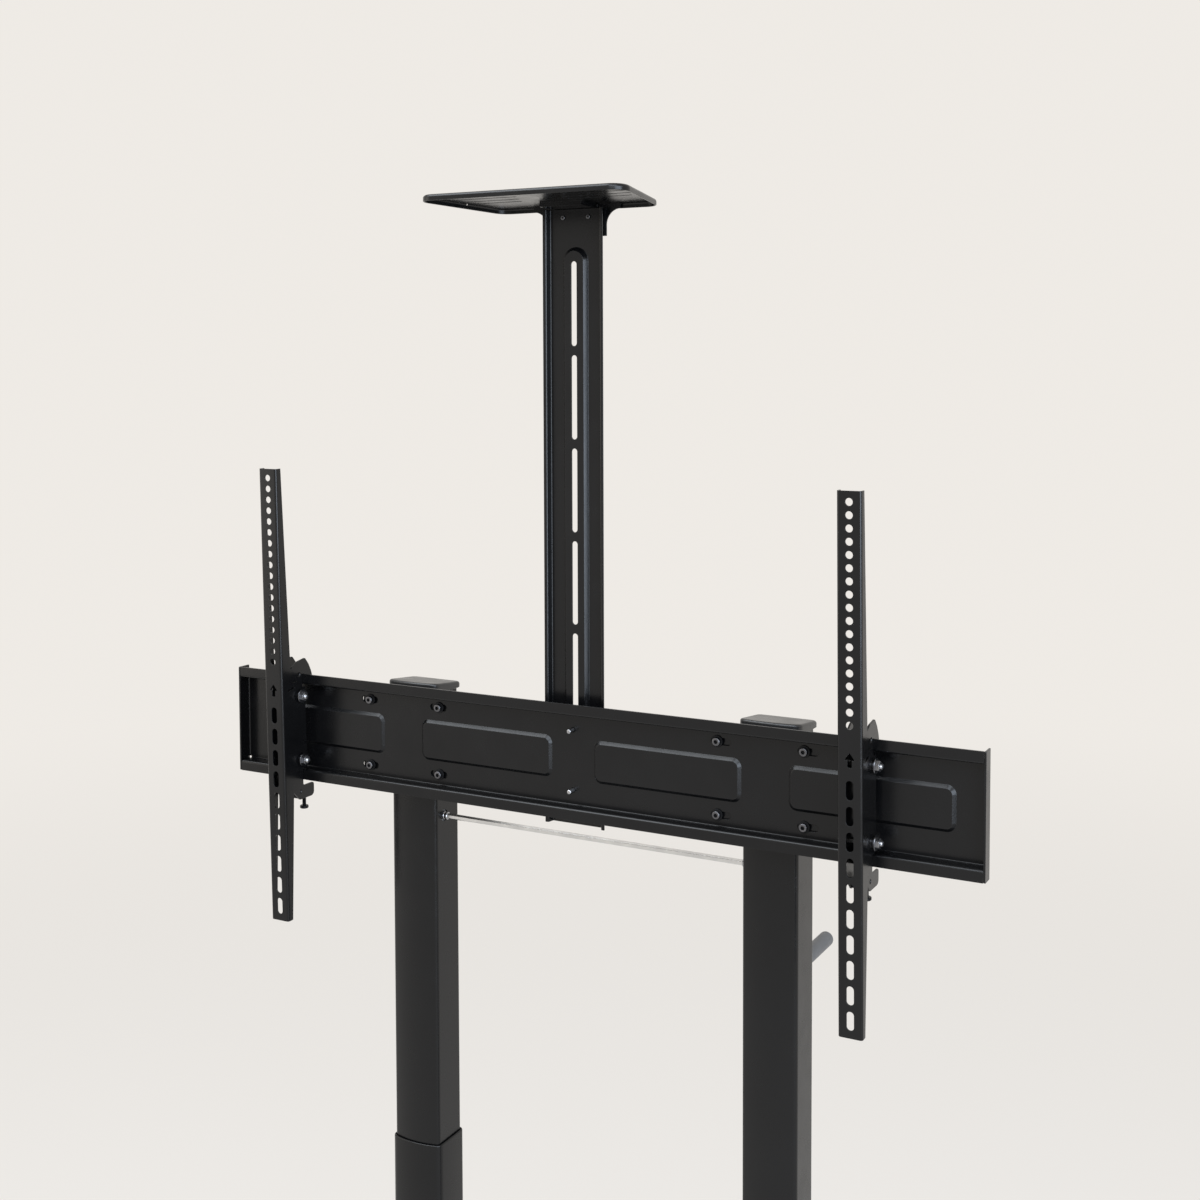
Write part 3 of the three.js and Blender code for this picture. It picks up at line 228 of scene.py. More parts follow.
def turned(axis, profile, centre=(0.0, 0.0), steps=ROUND_STEPS, phase=0.0):
    """A solid of revolution; the profile runs (radius, place) and starts and ends on the axis."""
    vertices = []
    faces = []
    rings = []
    for radius, level in profile:
        if not radius:
            rings.append([len(vertices)])
            vertices += along(axis, [centre], level)
            continue
        rings.append(list(range(len(vertices), len(vertices) + steps)))
        outline = arc(centre[0], centre[1], radius, phase, phase + 360 - 360 / steps, steps - 1)
        vertices += along(axis, outline, level)
    for one, two in zip(rings, rings[1:]):
        for i in range(steps):
            j = (i + 1) % steps
            if len(one) == 1:
                faces.append((one[0], two[j], two[i]))
            elif len(two) == 1:
                faces.append((one[i], one[j], two[0]))
            else:
                faces.append((one[i], one[j], two[j], two[i]))
    return vertices, faces


def ringed(axis, profile, centre=(0.0, 0.0), steps=ROUND_STEPS):
    """A ring of revolution: its profile is a loop that stays off the axis."""
    vertices, faces = turned(axis, profile, centre, steps)
    last = (len(profile) - 1) * steps
    for i in range(steps):
        j = (i + 1) % steps
        faces.append((last + i, last + j, j, i))
    return vertices, faces


def rod(axis, radius, start, end, centre=(0.0, 0.0), edge=0.0):
    """A shaft with rounded ends."""
    rise = 1 if end > start else -1
    quarter = arc(0, 0, edge, 0, 90) if edge else [(0.0, 0.0)]
    profile = [(0.0, start)]
    profile += [(radius - edge + v, start + rise * (edge - u)) for u, v in quarter]
    profile += [(radius - edge + u, end - rise * (edge - v)) for u, v in quarter]
    profile.append((0.0, end))
    return turned(axis, profile, centre)


def merged(*shapes):
    vertices = []
    faces = []
    for more_vertices, more_faces in shapes:
        base = len(vertices)
        vertices += list(more_vertices)
        faces += [tuple(i + base for i in face) for face in more_faces]
    return vertices, faces


def moved(shape, matrix):
    vertices, faces = shape
    corners = np.hstack([np.array(vertices, float), np.ones((len(vertices), 1))])
    result = corners @ np.array(matrix).T
    return result[:, :3].tolist(), faces


def shifted(shape, x=0.0, y=0.0, z=0.0):
    return moved(shape, Matrix.Translation((x, y, z)))


# Objects
def make(name, shape):
    vertices, faces = shape
    mesh = bpy.data.meshes.new(name)
    mesh.from_pydata([tuple(MM * c for c in vertex) for vertex in vertices], [], faces)
    work = bmesh.new()
    work.from_mesh(mesh)
    bmesh.ops.recalc_face_normals(work, faces=work.faces)
    work.to_mesh(mesh)
    work.free()
    body = bpy.data.objects.new(name, mesh)
    bpy.context.scene.collection.objects.link(body)
    return body


def carve(body, operation, shape):
    """Joins, cuts or crosses the body with a closed shape, and keeps the result as its mesh."""
    tool = make("tool", shape)
    modifier = body.modifiers.new("carve", "BOOLEAN")
    modifier.operation = operation
    modifier.solver = "MANIFOLD"
    modifier.object = tool
    graph = bpy.context.evaluated_depsgraph_get()
    result = bpy.data.meshes.new_from_object(body.evaluated_get(graph))
    body.modifiers.clear()
    spent = [body.data, tool.data]
    body.data = result
    bpy.data.objects.remove(tool)
    for mesh in spent:
        bpy.data.meshes.remove(mesh)


def unite(body, other):
    """Joins two objects into the first."""
    vertices = [tuple(c / MM for c in vertex.co) for vertex in other.data.vertices]
    faces = [tuple(face.vertices) for face in other.data.polygons]
    bpy.data.objects.remove(other)
    carve(body, "UNION", (vertices, faces))


def placed(matrix):
    """A matrix in millimetres, as the same move in metres."""
    return Matrix.Scale(MM, 4) @ matrix @ Matrix.Scale(1 / MM, 4)


def join(body, *shapes):
    for shape in shapes:
        carve(body, "UNION", shape)


def cut(body, *shapes):
    """Cuts shapes that don't overlap each other, all at once."""
    carve(body, "DIFFERENCE", merged(*shapes))


SMOOTH_ANGLE = math.radians(35)
EDGE_SEGMENTS = 3
FACE_WEIGHT = 80


def smooth_group():
    """A small node group that shades every face smooth, for the frame's own meshes."""
    group = bpy.data.node_groups.new("smooth_faces", "GeometryNodeTree")
    group.interface.new_socket("Geometry", in_out="INPUT", socket_type="NodeSocketGeometry")
    group.interface.new_socket("Geometry", in_out="OUTPUT", socket_type="NodeSocketGeometry")
    start = group.nodes.new("NodeGroupInput")
    shade = group.nodes.new("GeometryNodeSetShadeSmooth")
    end = group.nodes.new("NodeGroupOutput")
    group.links.new(start.outputs[0], shade.inputs["Geometry"])
    group.links.new(shade.outputs["Geometry"], end.inputs[0])
    return group


SMOOTH_FACES = smooth_group()


def soften(body, width, clamp=False):
    """Rounds every sharp edge and lets the large faces keep their own direction."""
    bevel = body.modifiers.new("edges", "BEVEL")
    bevel.width = width * MM
    bevel.segments = EDGE_SEGMENTS
    bevel.limit_method = "ANGLE"
    bevel.angle_limit = SMOOTH_ANGLE
    bevel.use_clamp_overlap = clamp
    bevel.loop_slide = False
    if body.data.polygons and not body.data.polygons[0].use_smooth:
        shade = body.modifiers.new("shade", "NODES")
        shade.node_group = SMOOTH_FACES
    normals = body.modifiers.new("normals", "WEIGHTED_NORMAL")
    normals.keep_sharp = True
    normals.weight = FACE_WEIGHT


def finish(body, rides_on, slot="black_powder_coat", edge=0.0, replaces=None, material=None):
    """Shades a piece, rounds its edges, and sets its finish, its body and the node it stands for."""
    body.data.polygons.foreach_set("use_smooth", [True] * len(body.data.polygons))
    body.data.materials.clear()
    body.data.materials.append(material or SLOT_MATERIALS[slot])
    if edge:
        soften(body, edge)
    else:
        body.data.set_sharp_from_angle(angle=SMOOTH_ANGLE)
    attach(body, rides_on)
    if replaces:
        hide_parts(replaces)


def span(node):
    """A node's lowest and highest corners, in millimetres."""
    low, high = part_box(node)
    return [c / MM for c in low], [c / MM for c in high]


def middle_of(node):
    low, high = span(node)
    return [(a + b) / 2 for a, b in zip(low, high)]


# Finishes
NOISE_RANGE = (0.3, 0.7)


def add_node(tree, kind, values=(), links=(), **settings):
    """A shader node with its settings, the values of its sockets and the links into them."""
    node = tree.nodes.new(kind)
    for name, setting in settings.items():
        setattr(node, name, setting)
    for name, value in dict(values).items():
        node.inputs[name].default_value = value
    for name, source in dict(links).items():
        tree.links.new(source, node.inputs[name])
    return node


class Finish:
    """A principled surface with noise in its colour, roughness and relief."""

    def __init__(self, name, colour, roughness, metallic=0.0, specular=0.5):
        self.material = bpy.data.materials.new(name)
        self.material.use_nodes = True
        self.tree = self.material.node_tree
        self.shader = self.tree.nodes["Principled BSDF"]
        self.shader.inputs["Base Color"].default_value = (*colour, 1)
        self.shader.inputs["Roughness"].default_value = roughness
        self.shader.inputs["Metallic"].default_value = metallic
        self.shader.inputs["Specular IOR Level"].default_value = specular
        self.place = add_node(self.tree, "ShaderNodeTexCoord").outputs["Object"]

    def stretched(self, scale):
        node = add_node(self.tree, "ShaderNodeMapping", {"Scale": scale}, {"Vector": self.place})
        return node.outputs["Vector"]

    def noise(self, scale, detail=3.0, place=None):
        values = {"Scale": scale, "Detail": detail}
        node = add_node(self.tree, "ShaderNodeTexNoise", values, {"Vector": place or self.place})
        return node.outputs["Fac"]

    def ranged(self, value, low, high):
        values = {"From Min": NOISE_RANGE[0], "From Max": NOISE_RANGE[1], "To Min": low, "To Max": high}
        return add_node(self.tree, "ShaderNodeMapRange", values, {"Value": value}).outputs["Result"]

    def colours(self, value, low, high):
        ends = {"A": (*low, 1), "B": (*high, 1)}
        share = {"Factor": self.ranged(value, 0, 1)}
        node = add_node(self.tree, "ShaderNodeMix", ends, share, data_type="RGBA")
        self.tree.links.new(node.outputs["Result"], self.shader.inputs["Base Color"])

    def roughness(self, value, low, high):
        self.tree.links.new(self.ranged(value, low, high), self.shader.inputs["Roughness"])

    def relief(self, value, depth, strength=1.0, under=None):
        values = {"Strength": strength, "Distance": depth * MM}
        links = {"Height": value, "Normal": under} if under else {"Height": value}
        normal = add_node(self.tree, "ShaderNodeBump", values, links).outputs["Normal"]
        self.tree.links.new(normal, self.shader.inputs["Normal"])
        return normal


def powder_coat():
    coat = Finish("black_powder_coat", (0.003, 0.003, 0.0033), 0.25, specular=0.31)
    coat.colours(coat.noise(9.0, 4.0), (0.0025, 0.0025, 0.0028), (0.0037, 0.0037, 0.004))
    coat.roughness(coat.noise(34.0, 4.0), 0.2, 0.29)
    orange_peel = coat.relief(coat.noise(420.0, 2.0), 0.05, 0.35)
    coat.relief(coat.noise(1500.0, 2.0), 0.02, 0.5, orange_peel)
    return coat.material


def moulded(name, low, high, roughness, grain, specular=0.4):
    plastic = Finish(name, low, roughness, specular=specular)
    plastic.colours(plastic.noise(14.0), low, high)
    plastic.roughness(plastic.noise(40.0, 4.0), roughness - 0.04, roughness + 0.06)
    plastic.relief(plastic.noise(1100.0, 2.0), grain, 0.6)
    return plastic.material


def plated(name, low, high, roughness, stretch=(1, 1, 1)):
    metal = Finish(name, low, roughness, 1.0)
    metal.colours(metal.noise(60.0, 3.0), low, high)
    drawn = metal.stretched(stretch)
    metal.roughness(metal.noise(90.0, 4.0, drawn), roughness - 0.05, roughness + 0.1)
    metal.relief(metal.noise(500.0, 3.0, drawn), 0.012, 0.4)
    return metal.material


def blackened():
    oxide = Finish("black_oxide", (0.006, 0.006, 0.0065), 0.34, specular=0.16)
    oxide.colours(oxide.noise(50.0), (0.005, 0.005, 0.0055), (0.008, 0.008, 0.0085))
    oxide.roughness(oxide.noise(90.0, 4.0), 0.3, 0.42)
    oxide.relief(oxide.noise(500.0), 0.012, 0.4)
    return oxide.material


def rubber():
    tread = Finish("grey_rubber", (0.05, 0.05, 0.052), 0.7)
    tread.colours(tread.noise(30.0), (0.042, 0.042, 0.044), (0.06, 0.06, 0.062))
    tread.roughness(tread.noise(70.0), 0.62, 0.78)
    tread.relief(tread.noise(900.0), 0.04, 0.5)
    return tread.material


DARK_STEEL = plated("dark_steel", (0.1, 0.102, 0.11), (0.17, 0.17, 0.18), 0.26)
SLOT_MATERIALS = {
    "black_powder_coat": powder_coat(),
    "black_plastic": moulded("black_plastic", (0.012, 0.012, 0.012), (0.016, 0.0157, 0.0155), 0.3, 0.02, 0.5),
    "grey_plastic": moulded("grey_plastic", (0.11, 0.11, 0.112), (0.135, 0.133, 0.13), 0.46, 0.03),
    "pale_nylon": moulded("pale_nylon", (0.64, 0.62, 0.56), (0.7, 0.68, 0.62), 0.5, 0.02),
    "grey_rubber": rubber(),
    "zinc_plate": plated("zinc_plate", (0.36, 0.365, 0.38), (0.5, 0.5, 0.51), 0.26),
    "bright_steel": plated("bright_steel", (0.6, 0.6, 0.6), (0.72, 0.72, 0.71), 0.22, (0.02, 1, 1)),
    "black_oxide": blackened(),
}


# Columns: flat sides and back and a bowed front, as the frame's own section
COLUMN = {"width": 73.2, "depth": 56.0, "bulge": 6.0, "corner": 5.0, "wall": 2.0}
OUTER_GAP = 1.5
OUTER_WALL = 1.8
RIM = {"round": 1.7, "inside": 0.1}
SOCKET_RADIUS = 8.0
CAP = {"round": 3.4, "skirt": 14.0, "drop": 8.0, "draft": 1.0, "foot": 0.8}
CROWN_SHARES = (0.95, 0.88, 0.78, 0.64, 0.48, 0.3, 0.12)


def column_outline(grow, steps=BEND_STEPS):
    half = COLUMN["width"] / 2
    bow = (half**2 + COLUMN["bulge"] ** 2) / (2 * COLUMN["bulge"]) + grow
    side = half + grow
    back = COLUMN["depth"] / 2 + grow
    front = -(COLUMN["depth"] / 2 + COLUMN["bulge"] + grow)
    radius = max(COLUMN["corner"] + grow, COLUMN["wall"] / 2)
    shoulder = side - radius

    def front_at(x):
        return front + bow - math.sqrt(bow**2 - x**2)

    corner = front_at(side)
    bend = []
    for i in range(steps + 1):
        t = i / steps
        x = (1 - t) ** 2 * shoulder + (2 * t * (1 - t) + t**2) * side
        y = (1 - t) ** 2 * front_at(shoulder) + 2 * t * (1 - t) * corner + t**2 * (corner + radius)
        bend.append((x, y))
    bowed = []
    for i in range(1, 3 * steps):
        x = -shoulder + 2 * shoulder * i / (3 * steps)
        bowed.append((x, front_at(x)))
    return (
        bend
        + arc(side - radius, back - radius, radius, 0, 90, steps)
        + arc(radius - side, back - radius, radius, 90, 180, steps)
        + [(-x, y) for x, y in reversed(bend)]
        + bowed
    )


def column_middle(side):
    return middle_of(f"{side}_inner_column")[0]


def drive_centre():
    return tuple(middle_of("drive_rod")[1:])


def shell(levels):
    """A closed tube wall from (grow, height) pairs that run up one face and down the other."""
    rings = [along("z", column_outline(grow), level) for grow, level in levels]
    vertices, faces = loft(rings, closed_ends=False)
    count = len(rings[0])
    last = (len(rings) - 1) * count
    for i in range(count):
        j = (i + 1) % count
        faces.append((last + i, last + j, j, i))
    return vertices, faces


def columns(side):
    x = column_middle(side)
    low, high = span(f"{side}_outer_column")
    outer = OUTER_GAP + OUTER_WALL
    rim = arc(outer - RIM["round"], high[2] - RIM["round"], RIM["round"], 0, 90)
    levels = [(outer, low[2])] + rim + [(OUTER_GAP, high[2] - RIM["inside"]), (OUTER_GAP, low[2])]
    body = make(f"{side}_outer_tube", shifted(shell(levels), x=x))
    finish(body, "base", replaces=f"{side}_outer_column")

    low, high = span(f"{side}_inner_column")
    levels = [(0.0, low[2]), (0.0, high[2]), (-COLUMN["wall"], high[2]), (-COLUMN["wall"], low[2])]
    body = make(f"{side}_inner_tube", shifted(shell(levels), x=x))
    y, z = drive_centre()
    cut(body, rod("x", SOCKET_RADIUS, x, x - SIDES[side] * COLUMN["width"], (y, z)))
    if side == "right":
        cut(body, rod("y", SOCKET_RADIUS, 0.0, COLUMN["depth"], (x, z)))
    finish(body, "lift_frame", edge=0.4, replaces=f"{side}_inner_column")


def column_cap(side):
    """A lid with a rounded rim and a low crown, and its plug in the column."""
    x = column_middle(side)
    low, high = span(f"{side}_column_cap")
    bottom = span(f"{side}_inner_column")[1][2] + SEAT_GAP
    overhang = (high[0] - low[0] - COLUMN["width"]) / 2
    slope = CAP["drop"] / (high[1] - low[1])
    rim = bottom + CAP["skirt"] - CAP["round"] / 2
    top = rim + CAP["round"]

    def sloped(outline, level, share=1.0):
        return [(u * share, v * share, level - slope * (v * share - low[1])) for u, v in outline]

    rings = [
        along("z", column_outline(overhang - CAP["draft"]), bottom),
        along("z", column_outline(overhang), bottom + CAP["foot"]),
    ]
    for grow, level in arc(overhang - CAP["round"], rim, CAP["round"], 0, 90, BEND_STEPS):
        rings.append(sloped(column_outline(grow), level))
    edge = column_outline(overhang - CAP["round"])
    for share in CROWN_SHARES:
        rings.append(sloped(edge, top + (high[2] - top) * (1 - share**2), share))
    body = make(f"{side}_cap", shifted(loft(rings), x=x))
    plug = prism("z", column_outline(-COLUMN["wall"] - SEAT_GAP), low[2], bottom + 2 * OVERRUN)
    join(body, shifted(plug, x=x))
    finish(body, "lift_frame", "black_plastic", replaces=f"{side}_column_cap")


# Rail
RAIL = {"lip": 15.0, "depth": 18.5, "sheet": 2.5, "bend": 1.2, "tab_gap": 0.4, "end_zone": 6.0}
TAB_BEND = {"inner": 2.4, "overlap": 1.2, "inside": 0.7, "corner": 1.5}
RELIEF = {"step": 3.0, "radius": 2.2, "inset": 1.0}
PAD = {"count": 4, "width": 207.0, "height": 57.0, "corner": 12.0, "least_corner": 2.0, "pitch": 267.0}
PAD_FORM = {"rise": 3.5, "slope": 5.5, "sink": 0.25, "inset": 1.2}
SLOT = {"length": 27.0, "height": 9.0, "shift": 0.9}
BOLTS = {"x": 114.0, "z": 91.6, "shift": {"left": 0.0, "right": -4.0}}
STUDS = {"pitch": 78.8, "drop": 1.6, "radius": 3.0, "reach": 12.0, "hole": 3.4, "round": 1.4}
PRESS_STEPS = 12
PRESS_BEND_SHARE = 0.15


def rail_middle():
    return middle_of("rail")[2]


def pressed(outlines, place, rise, foot):
    """A raised form; its side runs from foot to rise, straight in the middle and bent at both ends."""
    rings = []
    last = len(outlines) - 1
    bend = PRESS_BEND_SHARE
    for i, outline in enumerate(outlines):
        t = i / last
        if t < bend:
            share = t * t / 2 / bend
        elif t > 1 - bend:
            share = 1 - bend - (1 - t) ** 2 / 2 / bend
        else:
            share = t - bend / 2
        height = foot + (rise - foot) * share / (1 - bend)
        rings.append(along("y", outline, place - height))
    return loft(rings)


def pad_shape(x, shrink=0.0):
    outlines = []
    for i in range(PRESS_STEPS + 1):
        inset = shrink + PAD_FORM["slope"] * i / PRESS_STEPS
        size = (PAD["width"] - 2 * inset, PAD["height"] - 2 * inset)
        corner = max(PAD["corner"] - inset, PAD["least_corner"])
        outlines.append(rounded_rectangle(*size, corner, x, rail_middle(), PRESS_STEPS))
    return outlines


def end_tab(body, sign, front, web, back, middle, half, link):
    """The rail's end, folded forward: a plate with a rounded bend and two relief holes."""
    end = span("rail")[1][0]
    tab = end - RAIL["sheet"]
    behind = web + TAB_BEND["overlap"]
    low, high = middle - half, middle + half
    plate = [(front, low), (behind, low), (behind, high), (front, high)]
    radii = [TAB_BEND["corner"], 0, 0, TAB_BEND["corner"]]
    join(body, prism("x", fillet(plate, radii), *sorted((sign * tab, sign * end))))
    inner = TAB_BEND["inner"]
    inside = TAB_BEND["inside"]
    hollow = arc(tab - inner, web - inner, inner, 90, 0)
    web_fill = [(tab + inside, web - inner), (tab + inside, web + inside), (tab - inner, web + inside)]
    corner = [(sign * x, y) for x, y in hollow + web_fill]
    join(body, prism("z", corner, middle - link + inside, middle + link - inside))
    outer = RAIL["bend"] + RAIL["sheet"]
    bend = arc(end - outer, back - outer, outer, 0, 90)
    waste = [(end - outer, back + OVERRUN), (end + OVERRUN, back + OVERRUN), (end + OVERRUN, back - outer)]
    rounding = [(sign * x, y) for x, y in bend + waste]
    cut(body, prism("z", rounding, low - OVERRUN, high + OVERRUN))
    reliefs = []
    for dz in (-link - RELIEF["step"], link + RELIEF["step"]):
        place = (sign * (tab - RELIEF["inset"]), middle + dz)
        reliefs.append(rod("y", RELIEF["radius"], web - RELIEF["step"], back + OVERRUN, place))
    cut(body, *reliefs)


def rail_sheet():
    low, high = span("rail")
    front = low[1]
    web = front + RAIL["depth"]
    back = web + RAIL["sheet"]
    middle = rail_middle()
    half = high[2] - middle
    ledge = half - RAIL["lip"]
    end = high[0]
    tab = end - RAIL["sheet"]
    fold = tab - RAIL["tab_gap"]
    line = [
        (front, middle + half),
        (front, middle + ledge),
        (web, middle + ledge),
        (web, middle - ledge),
        (front, middle - ledge),
        (front, middle - half),
    ]
    reach = end - TAB_BEND["inside"]
    near_end = fold - RAIL["end_zone"]
    section = folded_sheet(line, RAIL["sheet"], RAIL["bend"])
    stations = (-reach, -near_end, -PAD["pitch"], 0.0, PAD["pitch"], near_end, reach)
    body = make("rail_sheet", loft([along("x", section, place) for place in stations]))
    link = ledge - RELIEF["step"]
    spare = []
    for low_z, high_z in ((link, half + OVERRUN), (-half - OVERRUN, -link)):
        for low_x, high_x in ((fold, end + OVERRUN), (-end - OVERRUN, -fold)):
            near = (low_x, front - OVERRUN, middle + low_z)
            far = (high_x, back + OVERRUN, middle + high_z)
            spare.append(block(near, far))
    cut(body, *spare)
    for sign in (-1, 1):
        end_tab(body, sign, front, web, back, middle, half, link)
    for i in range(PAD["count"]):
        x = (i - (PAD["count"] - 1) / 2) * PAD["pitch"]
        join(body, pressed(pad_shape(x), web, PAD_FORM["rise"], -PAD_FORM["sink"]))
        cut(body, pressed(pad_shape(x, PAD_FORM["inset"]), back, PAD_FORM["rise"], -PAD_FORM["sink"]))
    holes = []
    for side, sign in SIDES.items():
        for dx in (-BOLTS["x"] / 2, BOLTS["x"] / 2):
            for dz in (-BOLTS["z"] / 2, BOLTS["z"] / 2):
                centre = column_middle(side) + dx + sign * SLOT["shift"]
                outline = slot_outline(SLOT["length"], SLOT["height"], centre, middle + dz)
                holes.append(prism("y", outline, web - OVERRUN, back + OVERRUN))
    for dz in (-STUDS["pitch"] / 2, STUDS["pitch"] / 2):
        place = (0.0, middle + dz - STUDS["drop"])
        holes.append(rod("y", STUDS["hole"], web - OVERRUN, back + OVERRUN, place))
    cut(body, *holes)
    finish(body, "lift_frame", edge=0.25, replaces="rail")


# Fasteners
SCREW_FACE = 0.5
# The last entry picks the head's side faces by their direction; those faces take painted shade and a painted
# dark reflection.
HEAD = {"rim_share": 0.2, "floor_share": 0.25, "face": 0.05, "shaded_side_normal": 0.55}
WASHER_EDGE = 0.3
NUT = {"bite": 0.9, "chamfer": 1.4, "chamfer_rise": 0.72}
THREAD = {"turns": 4, "depth": 0.4, "neck": 0.5, "tip": 1.2, "tip_length": 0.4}
RAIL_BOLT = {"radius": 5.2, "height": 3.8, "socket": 2.7, "shank": 3.8}
RAIL_WASHER = {"thickness": 1.5, "radius": 7.6}
BRACKET = {"plate": 4.0, "corner": 6.0, "cheek": 3.0, "cheek_cut": 14.0}


def cap_screw(name, axis, centre, seat, outward, size, end):
    """A low cylinder head with a rounded rim and a hexagon socket, and its shank to end."""
    radius = size["radius"]
    height = size["height"]
    rim = radius * HEAD["rim_share"]
    quarter = arc(radius - rim, height - rim, rim, 0, 90)
    profile = [(0.0, seat), (radius, seat)]
    profile += [(run, seat + outward * level) for run, level in quarter]
    profile.append((0.0, seat + outward * height))
    body = make(name, turned(axis, profile, centre))
    join(body, rod(axis, size["shank"], seat + outward * SCREW_FACE, end, centre))
    floor = seat + outward * height * HEAD["floor_share"]
    mouth = seat + outward * (height + OVERRUN)
    socket = [(0.0, floor), (size["socket"], floor), (size["socket"], mouth), (0.0, mouth)]
    cut(body, turned(axis, socket, centre, HEXAGON))
    return body


def front_screw(name, centre, seat, size, end, rides_on):
    """A dark steel screw that faces the front; its socket and the side of its head are painted black, as
    painted shade and as a painted reflection of the dark rail.
    """
    body = cap_screw(name, "y", centre, seat, -1, size, end)
    finish(body, rides_on, "zinc_plate", material=DARK_STEEL)
    body.data.materials.append(SLOT_MATERIALS["black_oxide"])
    # Painted shade: faces inside the socket and faces on the head's side take the black oxide material,
    # standing in for shade and for the dark rail reflected there.
    for face in body.data.polygons:
        x, y, z = [c / MM for c in face.center]
        run = math.hypot(x - centre[0], z - centre[1])
        in_shaded_socket = run < size["socket"] and seat - y < size["height"] - HEAD["face"]
        if in_shaded_socket or abs(face.normal[1]) < HEAD["shaded_side_normal"]:
            face.material_index = 1


def washer(axis, centre, near, far, radius, hole):
    rim = radius - WASHER_EDGE
    profile = [(hole, near), (rim, near), (radius, (near + far) / 2), (rim, far), (hole, far)]
    return ringed(axis, profile, centre)


def nut(axis, centre, near, far, radius, end_radius, end):
    """A chamfered hexagon nut with the threaded end of its bolt, as three solids that meet."""
    outline = [(0, near), (radius, near), (radius, far), (0, far)]
    hexagon = turned(axis, outline, centre, HEXAGON, HEX_TURN)
    direction = math.copysign(1, far - near)
    bite = direction * NUT["bite"]
    shoulder = far - direction * NUT["chamfer_rise"]
    chamfer = [(radius, shoulder), (radius - NUT["chamfer"], far), (0, far)]
    cone = turned(axis, [(0, near - bite), (radius, near - bite)] + chamfer, centre)
    pitch = abs(end - far) / (THREAD["turns"] + 0.5)
    root = end_radius - THREAD["depth"]
    profile = [(0, far - bite), (root, far - bite)]
    for i in range(THREAD["turns"]):
        start = far + direction * pitch * i
        profile += [(root, start), (end_radius, start + direction * pitch / 2)]
    profile.append((end_radius - THREAD["neck"], end - direction * THREAD["tip_length"]))
    profile += [(end_radius - THREAD["tip"], end), (0, end)]
    return hexagon, cone, turned(axis, profile, centre)


def rail_brackets(side):
    """The bracket plate with its cheeks, and the four button-head bolts with their washers."""
    low, high = span(f"{side}_rail_bracket")
    x = column_middle(side)
    web = span("rail")[0][1] + RAIL["depth"]
    front = web + RAIL["sheet"] + SEAT_GAP
    back = front + BRACKET["plate"]
    middle = rail_middle()
    half = (high[2] - low[2]) / 2
    cheek = COLUMN["width"] / 2 + SEAT_GAP
    plate = rounded_rectangle(high[0] - low[0], 2 * half, BRACKET["corner"], x, middle)
    body = make(f"{side}_bracket_plate", prism("y", plate, front, back))
    for sign in (-1, 1):
        ends = sorted((x + sign * cheek, x + sign * (cheek + BRACKET["cheek"])))
        root = front + BRACKET["plate"] / 2
        short = half - BRACKET["cheek_cut"]
        lower = [(root, -half), (high[1], -short)]
        outline = [(y, middle + z) for y, z in lower + [(y, -z) for y, z in reversed(lower)]]
        radii = [0, BRACKET["corner"], BRACKET["corner"], 0]
        join(body, prism("x", fillet(outline, radii), *ends))
    finish(body, "lift_frame", edge=0.2, replaces=f"{side}_rail_bracket")
    washers = []
    foot = web - SEAT_GAP
    seat = foot - RAIL_WASHER["thickness"]
    hole = RAIL_BOLT["shank"] + BORE_GAP
    for number, (dx, dz) in enumerate([(-1, -1), (-1, 1), (1, -1), (1, 1)]):
        centre = (x + BOLTS["shift"][side] + dx * BOLTS["x"] / 2, middle + dz * BOLTS["z"] / 2)
        washers.append(washer("y", centre, foot, seat, RAIL_WASHER["radius"], hole))
        front_screw(f"{side}_rail_bolt_{number + 1}", centre, seat, RAIL_BOLT, back, "lift_frame")
    flat = make(f"{side}_rail_washers", merged(*washers))
    finish(flat, "lift_frame", "black_oxide")


# Mast
MAST = {"lip": 5.0, "depth": 9.5, "sheet": 2.0, "slope": 1.5, "bend": 1.6}
STRIP = {"width": 26.4, "slope": 5.6, "rise": 5.8, "margin": 13.0, "drop": 66.7, "inset_share": 0.7}
STRIP_SINK = {"front": 0.25, "back": 0.3}
STRIP_SLOTS = {"count": 6, "width": 8.0, "length": 107.8, "pitch": 119.5}
TOP_SCREW = {"radius": 3.0, "height": 1.6, "socket": 1.2, "shank": 2.2}
TOP_SCREWS = {"spacing": 37.0, "drop": 10.5, "hole": 2.6, "sink": 0.1}
CLAMP = {"plate": 3.0, "corner": 5.0}


def top_screw_places():
    height = span("mast")[1][2] - TOP_SCREWS["drop"]
    return [(sign * TOP_SCREWS["spacing"] / 2, height) for sign in (-1, 1)]


